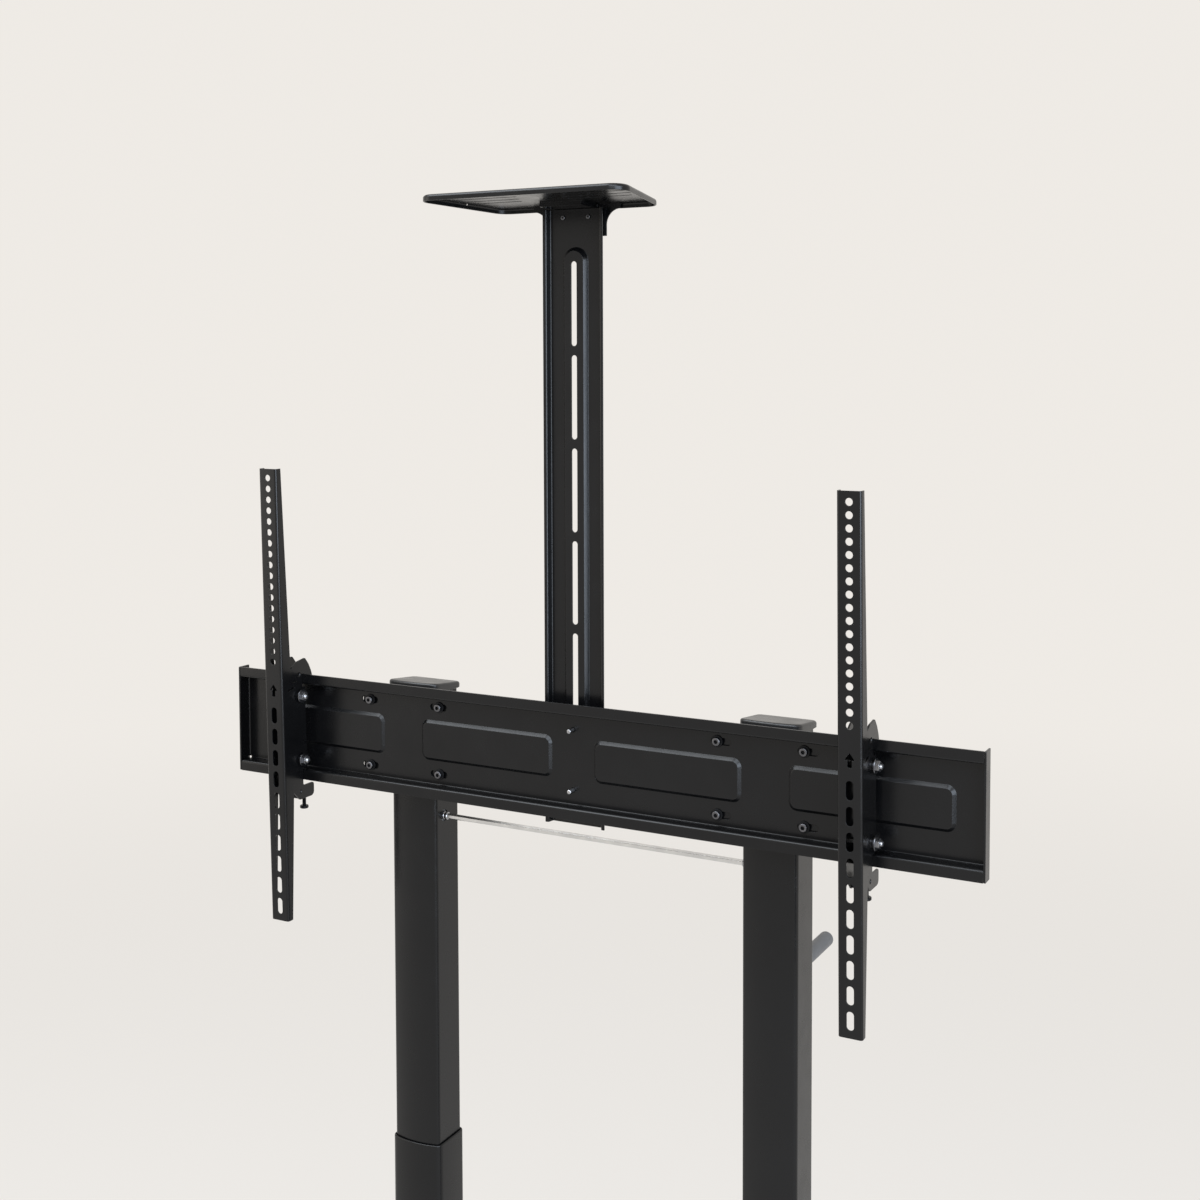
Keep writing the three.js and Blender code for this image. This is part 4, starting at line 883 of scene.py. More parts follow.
def mast_sheet():
    low, high = span("mast")
    front = low[1]
    web = front + MAST["depth"]
    back = high[1]
    outer = high[0]
    lip = outer - MAST["lip"]
    wall = lip - MAST["slope"]
    line = [(outer, front), (lip, front), (wall, web), (-wall, web), (-lip, front), (-outer, front)]
    section = folded_sheet(line, -MAST["sheet"], MAST["bend"])
    body = make("mast_sheet", prism("z", section, low[2], high[2]))
    slot_top = high[2] - STRIP["drop"]
    slot_bottom = slot_top - STRIP_SLOTS["pitch"] * (STRIP_SLOTS["count"] - 1) - STRIP_SLOTS["length"]
    length = slot_top - slot_bottom + 2 * STRIP["margin"]
    centre = (slot_top + slot_bottom) / 2

    def strip(shrink):
        outlines = []
        for i in range(PRESS_STEPS + 1):
            grow = STRIP["slope"] * (1 - i / PRESS_STEPS) - shrink
            outlines.append(slot_outline(length + 2 * grow, STRIP["width"] + 2 * grow, 0.0, centre, True))
        return outlines

    inset = MAST["sheet"] * STRIP["inset_share"]
    join(body, pressed(strip(0.0), web, STRIP["rise"], -STRIP_SINK["front"]))
    cut(body, pressed(strip(inset), back, STRIP["rise"], -STRIP_SINK["back"]))
    holes = []
    for i in range(STRIP_SLOTS["count"]):
        middle = slot_top - STRIP_SLOTS["length"] / 2 - i * STRIP_SLOTS["pitch"]
        outline = slot_outline(STRIP_SLOTS["length"], STRIP_SLOTS["width"], 0.0, middle, True)
        holes.append(prism("y", outline, front - OVERRUN, back + OVERRUN))
    for place in top_screw_places():
        holes.append(rod("y", TOP_SCREWS["hole"], web - OVERRUN, back + OVERRUN, place))
    cut(body, *holes)
    finish(body, "mast_unit", edge=0.4, replaces="mast")


def mast_clamp():
    low, high = span("mast_clamp")
    plate_front = high[1] - CLAMP["plate"]
    height = middle_of("mast_clamp")[2]
    plate = rounded_rectangle(high[0] - low[0], high[2] - low[2], CLAMP["corner"], 0.0, height)
    body = make("clamp_plate", prism("y", plate, plate_front, high[1]))
    finish(body, "lift_frame", "zinc_plate", edge=0.5, replaces="mast_clamp")
    end = span("rail")[0][1] + RAIL["depth"] - STUDS["reach"]
    for number, sign in enumerate((-1, 1)):
        centre = (0.0, rail_middle() + sign * STUDS["pitch"] / 2 - STUDS["drop"])
        pin = rod("y", STUDS["radius"], plate_front + OVERRUN, end, centre, STUDS["round"])
        finish(make(f"mast_stud_{number + 1}", pin), "lift_frame", "zinc_plate")


# Shelf
SHELF = {"front": 294.5, "back": 230.0, "depth": 154.7, "fall": 5.4, "corner": 20.0}
TRAY = {"sheet": 2.0, "rim": 8.0, "round": 4.0, "lip_round": 0.5}
SHELF_SLOTS = {"count": 4, "length": 90.0, "width": 3.6, "pitch": 19.5, "stagger": 8.0}
SHELF_SLOT_PLACE = {"inset": 78.0, "front": 30.7}
TAB = {"inset": 0.5, "height": 42.0, "flare": 20.0, "overlap": 0.3}
SEAT = {"width": 60.0, "depth": 44.0, "inset": 0.4}


def shelf_outline(inset, front, back):
    slant = (SHELF["front"] - SHELF["back"]) / 2 / (back - front)
    lean = math.atan(slant)
    radius = SHELF["corner"] - inset
    near = front + inset + radius
    far = back - inset - radius

    def half_at(y):
        return SHELF["front"] / 2 - (y - front) * slant - inset / math.cos(lean) - radius / math.cos(lean)

    turn = math.degrees(lean)
    right = arc(half_at(near), near, radius, -90, turn, FLARE_STEPS)
    right += arc(half_at(far), far, radius, turn, 90, FLARE_STEPS)
    return right + [(-x, y) for x, y in reversed(right)]


def shelf_tray():
    """The tray with its rim and slots, its tab behind the mast and its seat on the mast's top."""
    low, high = span("shelf")
    mast_low, mast_high = span("mast")
    front = low[1]
    back = front + SHELF["depth"]
    top = high[2] - SHELF["fall"]
    sheet = TRAY["sheet"]
    under = top - sheet
    bottom = top - TRAY["rim"]
    bend = TRAY["round"]
    inner = bend - sheet
    lip = TRAY["lip_round"]
    levels = [(bend - v, top - bend + u) for u, v in arc(0, 0, bend, 0, 90, BEND_STEPS)]
    levels += [(0.0, bottom + lip), (lip, bottom), (sheet - lip, bottom), (sheet, bottom + lip)]
    levels += [(bend - v, under - inner + u) for u, v in arc(0, 0, inner, 90, 0)]
    rings = [along("z", shelf_outline(inset, front, back), level) for inset, level in levels]
    slope = SHELF["fall"] / SHELF["depth"]
    lean = Matrix(((1, 0, 0, 0), (0, 1, 0, 0), (0, -slope, 1, slope * back), (0, 0, 0, 1)))
    body = make("shelf_tray", moved(loft(rings), lean))
    slots = []
    for sign in (-1, 1):
        for i in range(SHELF_SLOTS["count"]):
            step = (SHELF_SLOTS["count"] - 1) / 2 - i
            x = sign * SHELF_SLOT_PLACE["inset"] + step * SHELF_SLOTS["stagger"]
            y = front + SHELF_SLOT_PLACE["front"] + i * SHELF_SLOTS["pitch"]
            outline = slot_outline(SHELF_SLOTS["length"], SHELF_SLOTS["width"], x, y)
            slots.append(moved(prism("z", outline, under - OVERRUN, top + OVERRUN), lean))
    cut(body, *slots)
    tab_front = mast_high[1] + SEAT_GAP
    tab_back = tab_front + sheet
    half = mast_high[0] - TAB["inset"]
    wide = half + TAB["flare"]
    tab_low = top - TAB["height"]
    tab_top = under + TAB["overlap"]
    flare = arc(wide, bottom - TAB["flare"], TAB["flare"], 180, 90, FLARE_STEPS)
    outline = [(-half, tab_low), (half, tab_low)] + flare + [(wide, tab_top), (-wide, tab_top)]
    outline += [(-x, z) for x, z in reversed(flare)]
    join(body, prism("y", outline, tab_front, tab_back))
    seat_front = tab_back - SEAT["depth"]
    seat_back = tab_back - SEAT["inset"]
    seat_low = mast_high[2] + SEAT_GAP
    seat = [(seat_front, seat_low), (seat_back, seat_low)]
    seat += [(y, tab_top + slope * (back - y)) for y in (seat_back, seat_front)]
    join(body, prism("x", seat, -SEAT["width"] / 2, SEAT["width"] / 2))
    finish(body, "mast_unit", edge=0.2, replaces="shelf")
    place = mast_low[1] + MAST["depth"] - TOP_SCREWS["sink"]
    for number, centre in enumerate(top_screw_places()):
        front_screw(f"shelf_screw_{number + 1}", centre, place, TOP_SCREW, tab_back, "mast_unit")


# Display arms, drawn upright from their pivot and leant forward with the frame's own tilt
ARM = {"width": 30.0, "sheet": 2.0, "bend": 1.4, "top": 412.1, "margin": 20.6, "tilt": 1.3, "face": 38.5}
HOLES = {"count": 18, "pitch": 15.0, "diameter": 9.0, "first": 399.5}
SLOTS = {"count": 10, "pitch": 30.0, "width": 9.0, "length": 22.5, "start": 330.0}
ARROW = {"place": 295.0, "height": 17.0, "width": 12.5, "stem": 5.2, "corner": 0.5, "steps": 3}
WING = {"end": 10.0, "middle": 20.0, "back": 49.3, "top": 112.0, "bottom": 13.5, "corner": 8.0}
WING_SHOULDER = {"height": 101.5, "back": 41.0}
WING_RADII = [0, 0, 10, 6, 0, 0, 1, 4, 4, 6, 0, 0]
LOCK_RADIUS = 90.5
GUIDE = {"radius": 104.0, "width": 3.0, "start": 97.0, "end": 104.5}
BOLT = {"radius": 6.5, "height": 5.0, "socket": 2.4, "shank": 3.8, "end_radius": 3.4, "end": 3.0}
BOLT_NUT = {"radius": 6.6, "height": 4.7, "bury": 2.0}
WASHER = {"radius": 9.4, "thickness": 1.6, "spacer": 6.4, "spacer_height": 2.6}


def pivot_place(side):
    return (middle_of(f"{side}_arm")[0], *middle_of(f"{side}_pivot_bolt")[1:])


def leaning(side):
    lean = Matrix.Rotation(math.radians(ARM["tilt"]), 4, "X")
    return Matrix.Translation(pivot_place(side)) @ lean


def display_arm(side):
    face = -ARM["face"]
    half = ARM["width"] / 2
    first_slot = HOLES["first"] - SLOTS["start"]
    bottom = first_slot - (SLOTS["count"] - 1) * SLOTS["pitch"] - ARM["margin"]
    line = [(half, face + WING["back"]), (half, face), (-half, face), (-half, face + WING["back"])]
    channel = folded_sheet(line, -ARM["sheet"], ARM["bend"])
    body = make(f"{side}_arm_channel", prism("z", channel, bottom, ARM["top"]))
    middle = face + WING["middle"]
    back = face + WING["back"] + OVERRUN
    shoulder = face + WING_SHOULDER["back"]
    corner = WING["corner"]
    side_view = [
        (face - OVERRUN, bottom - OVERRUN),
        (face + WING["end"], bottom - OVERRUN),
        (middle, -WING["bottom"] - WING["middle"]),
        (middle + corner, -WING["bottom"]),
        (back, -WING["bottom"]),
        (back, WING_SHOULDER["height"]),
        (shoulder, WING_SHOULDER["height"]),
        (shoulder, WING["top"] - corner),
        (shoulder - corner, WING["top"]),
        (middle, WING["top"]),
        (face + WING["end"], ARM["top"] + OVERRUN),
        (face - OVERRUN, ARM["top"] + OVERRUN),
    ]
    carve(body, "INTERSECT", prism("x", fillet(side_view, WING_RADII), -half - OVERRUN, half + OVERRUN))
    face_back = face + ARM["sheet"]
    holes = []
    for i in range(HOLES["count"]):
        centre = (0.0, HOLES["first"] - i * HOLES["pitch"])
        holes.append(rod("y", HOLES["diameter"] / 2, face - OVERRUN, face_back + OVERRUN, centre))
    for i in range(SLOTS["count"]):
        z = first_slot - i * SLOTS["pitch"]
        outline = slot_outline(SLOTS["length"], SLOTS["width"], 0.0, z, True)
        holes.append(prism("y", outline, face - OVERRUN, face_back + OVERRUN))
    z = HOLES["first"] - ARROW["place"]
    stem = ARROW["stem"] / 2
    foot = z - ARROW["height"] / 2
    left = [(-ARROW["width"] / 2, z), (-stem, z), (-stem, foot)]
    arrow = [(0.0, z + ARROW["height"] / 2)] + left + [(-x, height) for x, height in reversed(left)]
    arrow = fillet(arrow, ARROW["corner"], ARROW["steps"])
    holes.append(prism("y", arrow, face - OVERRUN, face_back + OVERRUN))
    for z in (0.0, LOCK_RADIUS):
        holes.append(rod("x", BOLT["shank"] + BORE_GAP, -half - OVERRUN, half + OVERRUN, (0.0, z)))
    guide = arc(0, 0, GUIDE["radius"], GUIDE["start"], GUIDE["end"], FLARE_STEPS)
    guide += arc(0, 0, GUIDE["radius"] + GUIDE["width"], GUIDE["end"], GUIDE["start"], FLARE_STEPS)
    holes.append(prism("x", guide, -half - OVERRUN, half + OVERRUN))
    cut(body, *holes)
    body.data.transform(placed(leaning(side)))
    finish(body, f"{side}_display_arm", edge=0.35, replaces=f"{side}_arm")


def cross_bolt(side, kind, rides_on, matrix, centre):
    """A bolt across the arm: its head on one side, and spacer, washer and nut on the other."""
    half = ARM["width"] / 2 + SEAT_GAP
    near = half + WASHER["spacer_height"]
    seat = near + WASHER["thickness"]
    far = seat + BOLT_NUT["height"]
    size = (BOLT_NUT["radius"], BOLT["end_radius"])
    hexagon, cone, tip = nut("x", centre, seat, far, *size, far + BOLT["end"])
    body = cap_screw(f"{side}_{kind}_nut", "x", centre, -half, -1, BOLT, seat + BOLT_NUT["bury"])
    body.data.transform(placed(matrix))
    bored = make("bored_nut", moved(hexagon, matrix))
    carve(bored, "INTERSECT", moved(cone, matrix))
    unite(body, bored)
    join(body, moved(tip, matrix))
    finish(body, rides_on, "zinc_plate", edge=0.12, replaces=f"{side}_{kind}_bolt")
    hole = BOLT["shank"] + SEAT_GAP
    flat = washer("x", centre, near, seat, WASHER["radius"], hole)
    spacer = washer("x", centre, half, near + SCREW_FACE, WASHER["spacer"], hole)
    disc = make(f"{side}_{kind}_washer", moved(flat, matrix))
    join(disc, moved(spacer, matrix))
    finish(disc, rides_on, "black_oxide", material=DARK_STEEL)


# Hook brackets, drawn from the arm's pivot
HOOK = {"gap": 0.6, "plate": 2.4, "front": 10.8, "drop": 27.0}
FOOT = {"front": 19.3, "top": 35.0, "cut": 17.0, "corner": 2.0}
TAIL = {"top": 8.0, "back": 67.0}
EAR = {"tip": 50.5, "height": 22.0, "back": 66.0, "finger": 11.0}
EAR_FRONT_SHARES = ((0.64, 0.87), (0.45, 0.6), (0.38, 0.39))
EAR_BACK_SHARES = ((0.84, 0.1), (0.5, 0.57))
HOOK_RADII = [8, 6, 3, 3, 6, 4, 3, 0.4, 0.4, 1, 3, 6, 8, 10, 3, 12, 6, 4, 6]
CROSS = {"sheet": 3.0, "low": 12.0, "high": 80.0}
DIMPLE = {"place": 37.0, "ear": 0.5, "tail": 15.3, "depth": 1.2, "floor": 2.2, "mouth": 3.5, "over": 0.4}
SCREW = {"radius": 2.8, "head": 6.0, "head_height": 4.0, "below": 19.0, "above": 12.0, "behind": 60.0}
SCREW_CUT = {"chamfer": 0.8, "round": 0.6, "thread": 0.45, "pitch": 1.0, "steps": 32}
GREATEST_TILT = 12.0
LOCK_STEPS = 16


def rail_lips(side):
    """The front and back of the rail's lips, the rail's bottom and its top, from the arm's pivot."""
    y, z = pivot_place(side)[1:]
    low, high = span("rail")
    front = low[1] - y
    return front, front + RAIL["sheet"], low[2] - z, high[2] - z


def hook_outline(side):
    """A side plate, from its foot and tail over the rail's lips to its ear."""
    front, back, bottom, top = rail_lips(side)
    face = -ARM["face"]
    low = bottom - HOOK["drop"]
    foot = face + FOOT["front"]
    tail = face + TAIL["back"]
    tip = face + EAR["tip"]
    ear = face + EAR["back"]
    finger = top - EAR["finger"]
    outline = [
        (face + HOOK["front"], -FOOT["top"] / 2),
        (foot, -FOOT["top"]),
        (foot, low + FOOT["cut"]),
        (foot + FOOT["cut"], low),
        (tail, low),
        (tail, bottom - TAIL["top"]),
        (front - SEAT_GAP, bottom - TAIL["top"]),
        (front - SEAT_GAP, top + SEAT_GAP),
        (back + SEAT_GAP, top + SEAT_GAP),
        (back + SEAT_GAP, finger),
        (ear, finger),
        (ear, top - EAR["finger"] / 2),
        *[(tip + (ear - tip) * u, top + EAR["height"] * v) for u, v in EAR_BACK_SHARES],
        (tip, top + EAR["height"]),
        *[(face + EAR["tip"] * u, top + EAR["height"] * v) for u, v in EAR_FRONT_SHARES],
        (face + HOOK["front"], top),
    ]
    return fillet(outline, HOOK_RADII)


def lock_slot(steps=LOCK_STEPS):
    """The curved slot in which the tilt bolt runs, as wide as the bolt's bore."""
    half = BOLT["shank"] + BORE_GAP
    start, end = 90.0, 90.0 + GREATEST_TILT
    first, last = arc(0, 0, LOCK_RADIUS, start, end, 1)
    return (
        arc(0, 0, LOCK_RADIUS - half, end, start, steps)
        + arc(*first, half, start - 180, start, steps)[1:-1]
        + arc(0, 0, LOCK_RADIUS + half, start, end, steps)
        + arc(*last, half, end, end + 180, steps)[1:-1]
    )


def hook_bracket(side):
    """Two side plates that hang on the rail, joined by a web and a foot, with shallow round dimples."""
    face = -ARM["face"]
    bottom, top = rail_lips(side)[2:]
    low = bottom - HOOK["drop"]
    outer = ARM["width"] / 2 - ARM["sheet"] - HOOK["gap"]
    inner = outer - HOOK["plate"]
    reach = inner + OVERRUN
    far = outer + OVERRUN
    place = Matrix.Translation(pivot_place(side))
    outline = hook_outline(side)
    body = make(f"{side}_hook_plates", moved(prism("x", outline, inner, outer), place))
    web_front = face + HOOK["front"]
    web = block((-reach, web_front, CROSS["low"]), (reach, web_front + CROSS["sheet"], CROSS["high"]))
    foot_front = face + FOOT["front"] + FOOT["cut"] + CROSS["sheet"]
    foot_top = low + CROSS["sheet"]
    foot = block((-reach, foot_front, low), (reach, face + TAIL["back"], foot_top), FOOT["corner"])
    join(body, *[moved(shape, place) for shape in (prism("x", outline, -outer, -inner), web, foot)])
    bore = (0.0, face + SCREW["behind"])
    tools = [
        rod("x", BOLT["shank"] + BORE_GAP, -far, far),
        prism("x", lock_slot(), -far, far),
        rod("z", SCREW["radius"] + BORE_GAP, low - OVERRUN, foot_top + OVERRUN, bore),
    ]
    cut(body, *[moved(tool, place) for tool in tools])
    dimples = []
    mouth = outer + DIMPLE["over"]
    floor = outer - DIMPLE["depth"]
    profile = [(0.0, floor), (DIMPLE["floor"], floor), (DIMPLE["mouth"], mouth), (0.0, mouth)]
    for height in (top + DIMPLE["ear"], bottom - DIMPLE["tail"]):
        for sign in (-1, 1):
            dimple = turned("x", [(r, sign * x) for r, x in profile], (face + DIMPLE["place"], height))
            dimples.append(moved(dimple, place))
    cut(body, *dimples)
    finish(body, f"{side}_hook", edge=0.3, replaces=f"{side}_hook_bracket")


def safety_screw(side):
    """A thumbscrew that comes up through the bracket's foot, behind the rail."""
    x, y, z = pivot_place(side)
    foot = z + rail_lips(side)[2] - HOOK["drop"]
    bottom = foot - SCREW["below"]
    tip = foot + SCREW["above"]
    head_top = bottom + SCREW["head_height"]
    head, radius = SCREW["head"], SCREW["radius"]
    chamfer, edge = SCREW_CUT["chamfer"], SCREW_CUT["round"]
    root = radius - SCREW_CUT["thread"]
    pitch = SCREW_CUT["pitch"]
    profile = [(0, bottom), (head - chamfer, bottom), (head, bottom + chamfer)]
    profile += [(head, head_top - edge), (head - edge, head_top), (radius, head_top)]
    level = head_top + edge
    while level < tip - 2 * pitch:
        profile += [(root, level), (radius, level + pitch / 2)]
        level += pitch
    profile += [(root, level), (radius - 2 * SCREW_CUT["thread"], tip), (0, tip)]
    centre = (x, y - ARM["face"] + SCREW["behind"])
    screw = make(f"{side}_safety_thumbscrew", turned("z", profile, centre, SCREW_CUT["steps"]))
    finish(screw, f"{side}_hook", "black_oxide", replaces=f"{side}_safety_screw")


# Drive: cross rod, crank and grip
ROD = {"radius": 4.0, "inside": 6.0}
COLLAR = {"radius": 5.2, "length": 7.0, "inside": 8.0, "chamfer": 0.8, "land": 3.0}
GROOVE = {"length": 2.0, "depth": 0.6, "slope": 0.4}
CRANK = {"arm": 150.0, "width": 22.0, "thickness": 6.0, "pin": 4.0, "pin_root": 1.0, "shaft": 5.0}
CRANK_HUB = {"radius": 9.0, "length": 16.0, "round": 0.8, "shaft_round": 0.5}
GRIP = {"chamfer": 1.2, "round": 4.0, "flat": 4.4, "cover": 7.7, "sweep": 80}


def cross_rod():
    """A hexagon bar with a grooved round collar where it enters each column."""
    end = span("drive_rod")[1][0]
    centre = drive_centre()
    reach = end - ROD["inside"]
    profile = [(0, -reach), (ROD["radius"], -reach), (ROD["radius"], reach), (0, reach)]
    body = make("cross_rod_bar", turned("x", profile, centre, HEXAGON, HEX_TURN))
    finish(body, "cross_rod", "bright_steel", edge=0.4, replaces="drive_rod")
    radius = COLLAR["radius"]
    root = radius - GROOVE["depth"]
    start = abs(column_middle("right")) - COLUMN["width"] / 2 - COLLAR["length"]
    land = start + COLLAR["land"]
    groove = land + GROOVE["slope"]
    profile = [(0, start), (radius - COLLAR["chamfer"], start), (radius, start + COLLAR["chamfer"])]
    profile += [(radius, land), (root, groove), (root, groove + GROOVE["length"])]
    profile += [(radius, groove + GROOVE["length"] + GROOVE["slope"])]
    profile += [(radius, end - COLLAR["inside"]), (0, end - COLLAR["inside"])]
    for side, sign in SIDES.items():
        collar = make(f"{side}_rod_collar", turned("x", [(r, sign * x) for r, x in profile], centre))
        finish(collar, "cross_rod", "zinc_plate", edge=0.15)


def crank_parts():
    """The crank's arm with its hub, shaft and pin, and the grip that turns on the pin."""
    low, high = span("crank_handle")
    grip_low, grip_high = span("crank_grip")
    z = drive_centre()[1]
    x = column_middle("right")
    pin_place = (x, z - CRANK["arm"])
    arm_back = grip_low[1] - SEAT_GAP
    arm_front = arm_back - CRANK["thickness"]
    hub_front = arm_back - CRANK_HUB["length"]
    bar = slot_outline(CRANK["arm"] + CRANK["width"], CRANK["width"], x, z - CRANK["arm"] / 2, True)
    body = make("crank_arm", prism("y", bar, arm_front, arm_back))
    hub = rod("y", CRANK_HUB["radius"], hub_front, arm_back, (x, z), CRANK_HUB["round"])
    pin = rod("y", CRANK["pin"], arm_front + CRANK["pin_root"], high[1], pin_place)
    shaft = rod("y", CRANK["shaft"], low[1], arm_front, (x, z), CRANK_HUB["shaft_round"])
    join(body, hub, pin, shaft)
    finish(body, "crank", edge=0.8, replaces="crank_handle")

    radius = (grip_high[0] - grip_low[0]) / 2
    start, end = grip_low[1], grip_high[1]
    bore = CRANK["pin"] + BORE_GAP
    edge = GRIP["round"]
    chamfer = GRIP["chamfer"]
    profile = [(0, start), (bore, start), (radius - chamfer, start), (radius, start + chamfer)]
    profile += arc(radius - edge, end - edge, edge, 0, GRIP["sweep"], BEND_STEPS)
    profile += [(radius - GRIP["flat"], end), (0, end)]
    grip = make("crank_grip_body", turned("y", profile, pin_place))
    cut(grip, rod("y", bore, start - OVERRUN, end - GRIP["cover"], pin_place))
    finish(grip, "grip", "grey_plastic", edge=0.3, replaces="crank_grip")


# Castors
WHEEL = {"bore": 4.4, "hub": 12.0, "half": 13.0, "chamfer": 1.0, "web": 5.0, "rim": 27.0}
TREAD = {"half": 12.0, "round": 4.0, "lip": 0.6, "lip_run": 0.8}
WHEEL_BEND = {"slope": 1.5, "run": 3.0}
MOUNT = {"plate": 4.0, "corner": 5.0, "chamfer": 1.0}
STEM = {"radius": 5.0, "head": 8.0, "head_side": 2.4, "head_height": 3.0}
RACE = {"radius": 14.0, "drop": 7.0, "flare": 2.0, "top": 3.0}


def castor_wheel(name):
    low, high = span(f"{name}_castor_wheel")
    x, y, z = middle_of(f"{name}_castor_wheel")
    radius = (high[2] - low[2]) / 2
    half, web, hub, rim = WHEEL["half"], WHEEL["web"], WHEEL["hub"], WHEEL["rim"]
    cut_off, slope, run = WHEEL["chamfer"], WHEEL_BEND["slope"], WHEEL_BEND["run"]
    tread, edge = TREAD["half"], TREAD["round"]
    profile = [(WHEEL["bore"], -half), (hub - cut_off, -half), (hub, -half + cut_off)]
    profile += [(hub + slope, -web - cut_off), (hub + run, -web), (rim - run, -web)]
    profile += [(rim - cut_off, -web - slope), (rim, -tread + TREAD["lip"]), (rim + TREAD["lip_run"], -tread)]
    profile += [(radius - edge + v, -tread + edge - u) for u, v in arc(0, 0, edge, 0, 90)]
    mirrored = [(r, -level) for r, level in reversed(profile)]
    wheel = make(f"{name}_wheel_body", shifted(ringed("x", profile + mirrored, (y, z)), x=x))
    finish(wheel, f"{name}_wheel", "grey_rubber", replaces=f"{name}_castor_wheel")


def castor_mount(name):
    """The top plate, the race under it and the stem that carries the fork."""
    low, high = span(f"{name}_castor_mount")
    x, y = middle_of(f"{name}_castor_mount")[:2]
    plate = block((low[0], low[1], high[2] - MOUNT["plate"]), high, MOUNT["corner"])
    body = make(f"{name}_mount_plate", plate)
    head, stem, race, chamfer = STEM["head"], STEM["radius"], RACE["radius"], MOUNT["chamfer"]
    crown = span(f"{name}_castor_fork")[1][2] + SEAT_GAP
    race_top = high[2] - RACE["top"]
    profile = [(0, low[2]), (head - chamfer, low[2]), (head, low[2] + chamfer)]
    profile += [(head, low[2] + STEM["head_side"]), (stem, low[2] + STEM["head_height"]), (stem, crown)]
    profile += [(race - chamfer, crown), (race, crown + chamfer), (race, high[2] - RACE["drop"])]
    profile += [(race + RACE["flare"], race_top), (0, race_top)]
    join(body, turned("z", profile, (x, y)))
    finish(body, "base", "zinc_plate", edge=0.3, replaces=f"{name}_castor_mount")


def frame_nodes():
    """The frame's own meshes that stay: their slots, and how far their edges are rounded."""
    slots = {"cross_beam": ("black_powder_coat", 1.0)}
    for side in SIDES:
        slots[f"{side}_foot_beam"] = ("black_powder_coat", 1.0)
        slots[f"{side}_column_plate"] = ("black_powder_coat", 0.8)
        slots[f"{side}_glide_sleeve"] = ("black_plastic", 0.0)
        slots[f"{side}_nut_post"] = ("zinc_plate", 0.0)
        slots[f"{side}_lift_nut"] = ("pale_nylon", 0.3)
        slots[f"{side}_gearbox_housing"] = ("grey_plastic", 0.4)
        slots[f"{side}_lead_screw"] = ("bright_steel", 0.0)
        for end in ENDS:
            slots[f"{side}_{end}_beam_cap"] = ("black_plastic", 1.0)
            slots[f"{side}_{end}_castor_fork"] = ("zinc_plate", 0.6)
    for node, (slot, edge) in slots.items():
        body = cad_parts[node]
        body.data.materials.clear()
        body.data.materials.append(SLOT_MATERIALS[slot])
        if edge:
            soften(body, edge, clamp=True)


for side in SIDES:
    columns(side)
    column_cap(side)
    rail_brackets(side)
    display_arm(side)
    cross_bolt(side, "tilt", f"{side}_display_arm", leaning(side), (0.0, LOCK_RADIUS))
    cross_bolt(side, "pivot", f"{side}_hook", Matrix.Translation(pivot_place(side)), (0.0, 0.0))
    hook_bracket(side)
    safety_screw(side)
    for end in ENDS:
        castor_wheel(f"{side}_{end}")
        castor_mount(f"{side}_{end}")
rail_sheet()
mast_sheet()
mast_clamp()
shelf_tray()
cross_rod()
crank_parts()
frame_nodes()


# Floor, world and lamps
PALE = (0.860, 0.828, 0.786)
SHADE = (0.52, 0.5, 0.475)
FLOOR_SIZE = 40.0
GLOW_NEAR = 0.72
FADE_START = 1.5
FADE_END = 7.0


def background_rays(tree):
    """1 for camera, glossy and transmission rays, else 0."""
    path = add_node(tree, "ShaderNodeLightPath")
    total = path.outputs["Is Camera Ray"]
    for name in ("Is Glossy Ray", "Is Transmission Ray"):
        pair = {0: total, 1: path.outputs[name]}
        total = add_node(tree, "ShaderNodeMath", links=pair, operation="MAXIMUM").outputs[0]
    return total


def pale_floor():
    """Seen by the camera, the floor keeps the object's shadow and fades into the plain background."""
    material = bpy.data.materials.new("pale_floor")
    material.use_nodes = True
    tree = material.node_tree
    tree.nodes.clear()
    seen = background_rays(tree)
    ends = {"A": (*SHADE, 1), "B": (*PALE, 1)}
    colour = add_node(tree, "ShaderNodeMix", ends, {"Factor": seen}, data_type="RGBA")
    diffuse = add_node(tree, "ShaderNodeBsdfDiffuse", links={"Color": colour.outputs["Result"]})
    glow = add_node(tree, "ShaderNodeEmission", {"Color": (*PALE, 1)})
    place = add_node(tree, "ShaderNodeTexCoord").outputs["Object"]
    reach = add_node(tree, "ShaderNodeVectorMath", links={0: place}, operation="LENGTH")
    fade = {"From Min": FADE_START, "From Max": FADE_END, "To Min": GLOW_NEAR, "To Max": 1.0}
    run = {"Value": reach.outputs["Value"]}
    share = add_node(tree, "ShaderNodeMapRange", fade, run, interpolation_type="SMOOTHSTEP")
    pair = {0: seen, 1: share.outputs["Result"]}
    scaled = add_node(tree, "ShaderNodeMath", links=pair, operation="MULTIPLY")
    shaders = {0: scaled.outputs[0], 1: diffuse.outputs[0], 2: glow.outputs[0]}
    mix = add_node(tree, "ShaderNodeMixShader", links=shaders)
    add_node(tree, "ShaderNodeOutputMaterial", links={"Surface": mix.outputs[0]})
    return material


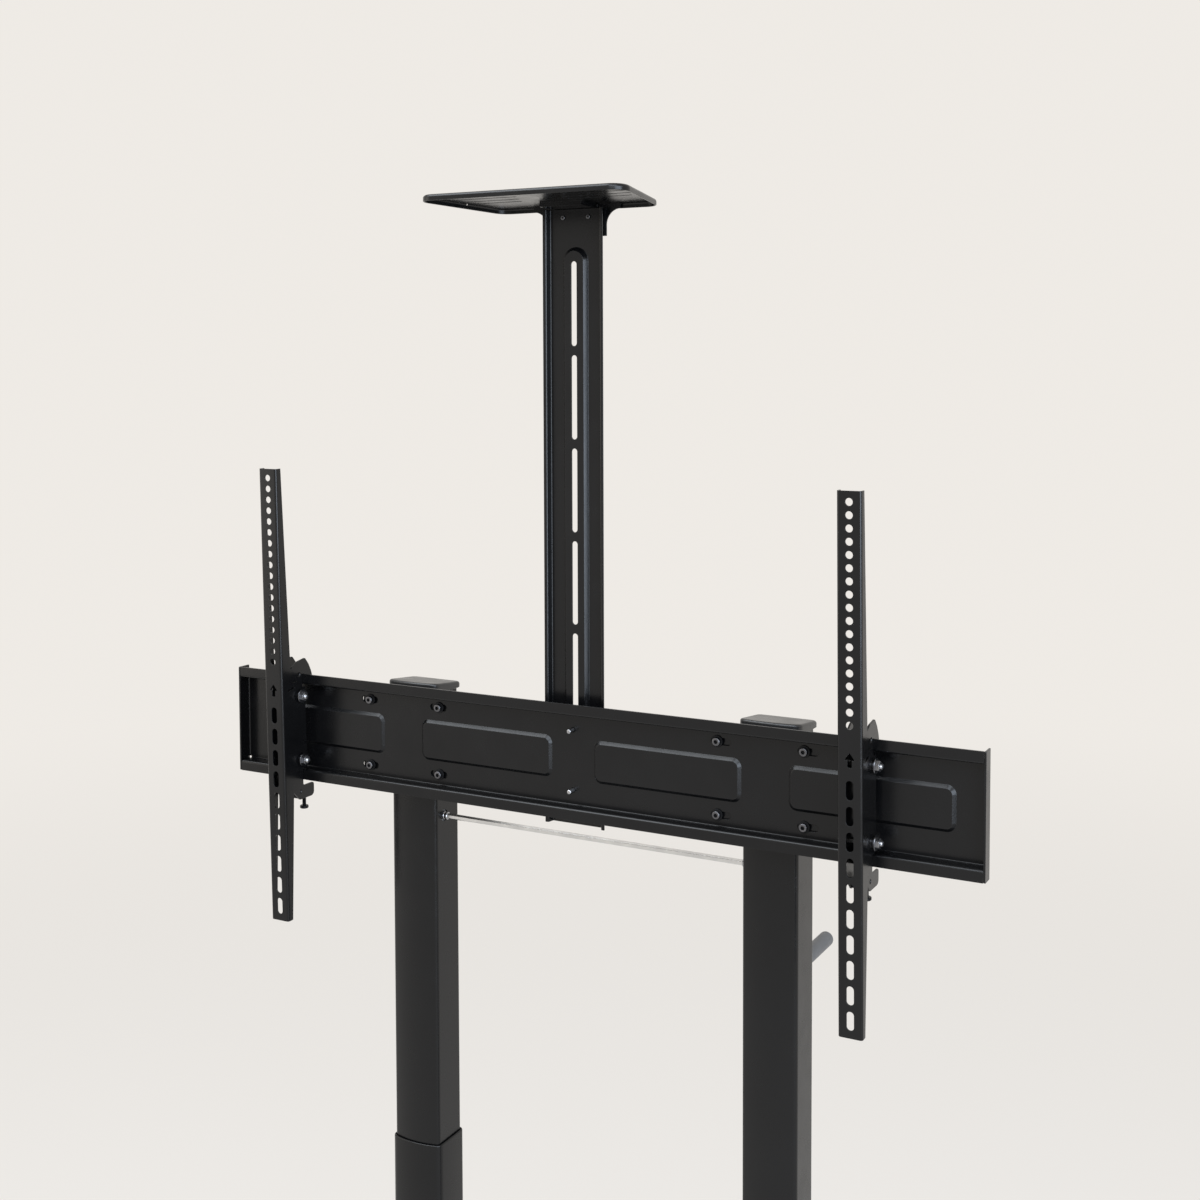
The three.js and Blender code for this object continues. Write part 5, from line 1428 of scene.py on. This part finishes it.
def make_stage():
    half = FLOOR_SIZE / 2
    mesh = bpy.data.meshes.new("floor")
    corners = [(-half, -half, 0), (half, -half, 0), (half, half, 0), (-half, half, 0)]
    mesh.from_pydata(corners, [], [(0, 1, 2, 3)])
    floor = bpy.data.objects.new("floor", mesh)
    bpy.context.scene.collection.objects.link(floor)
    mesh.materials.append(pale_floor())


WORLD_LIGHT = 0.5
WORLD_TINT = (0.98, 0.985, 1.0)


def make_world():
    world = bpy.data.worlds.new("studio")
    bpy.context.scene.world = world
    world.use_nodes = True
    tree = world.node_tree
    tree.nodes.clear()
    soft = add_node(tree, "ShaderNodeBackground", {"Color": (*WORLD_TINT, 1), "Strength": WORLD_LIGHT})
    pale = add_node(tree, "ShaderNodeBackground", {"Color": (*PALE, 1), "Strength": 1.0})
    shaders = {0: background_rays(tree), 1: soft.outputs[0], 2: pale.outputs[0]}
    mix = add_node(tree, "ShaderNodeMixShader", links=shaders)
    add_node(tree, "ShaderNodeOutputWorld", links={"Surface": mix.outputs[0]})


# Each lamp is a soft panel that aims at the rail: its place, size, radiance and tint
AIM = (0.0, -0.1, 1.5)
LAMPS = {
    "window": ((2.9, -1.8, 1.9), (2.4, 2.2), 7.5, (0.74, 0.85, 1.0)),
    "overhead": ((-1.4, -1.3, 4.1), (2.0, 2.0), 6.0, (0.88, 0.94, 1.0)),
    "front": ((0.7, -1.9, 3.2), (1.8, 1.6), 5.5, (0.8, 0.89, 1.0)),
    "fill": ((-3.4, -2.2, 1.9), (2.0, 2.4), 1.3, (1.0, 0.93, 0.84)),
}


def make_lamps():
    for name, (spot, (width, height), radiance, tint) in LAMPS.items():
        data = bpy.data.lights.new(name, "AREA")
        data.shape = "RECTANGLE"
        data.size = width
        data.size_y = height
        data.energy = radiance * math.pi * width * height
        data.color = tint
        body = bpy.data.objects.new(name, data)
        place = Matrix.Translation(spot)
        away = place.translation - Matrix.Translation(AIM).translation
        body.matrix_world = place @ away.to_track_quat("Z", "Y").to_matrix().to_4x4()
        bpy.context.scene.collection.objects.link(body)


make_stage()
make_world()
make_lamps()
bpy.context.scene.view_settings.view_transform = "Standard"

bpy.context.view_layer.update()
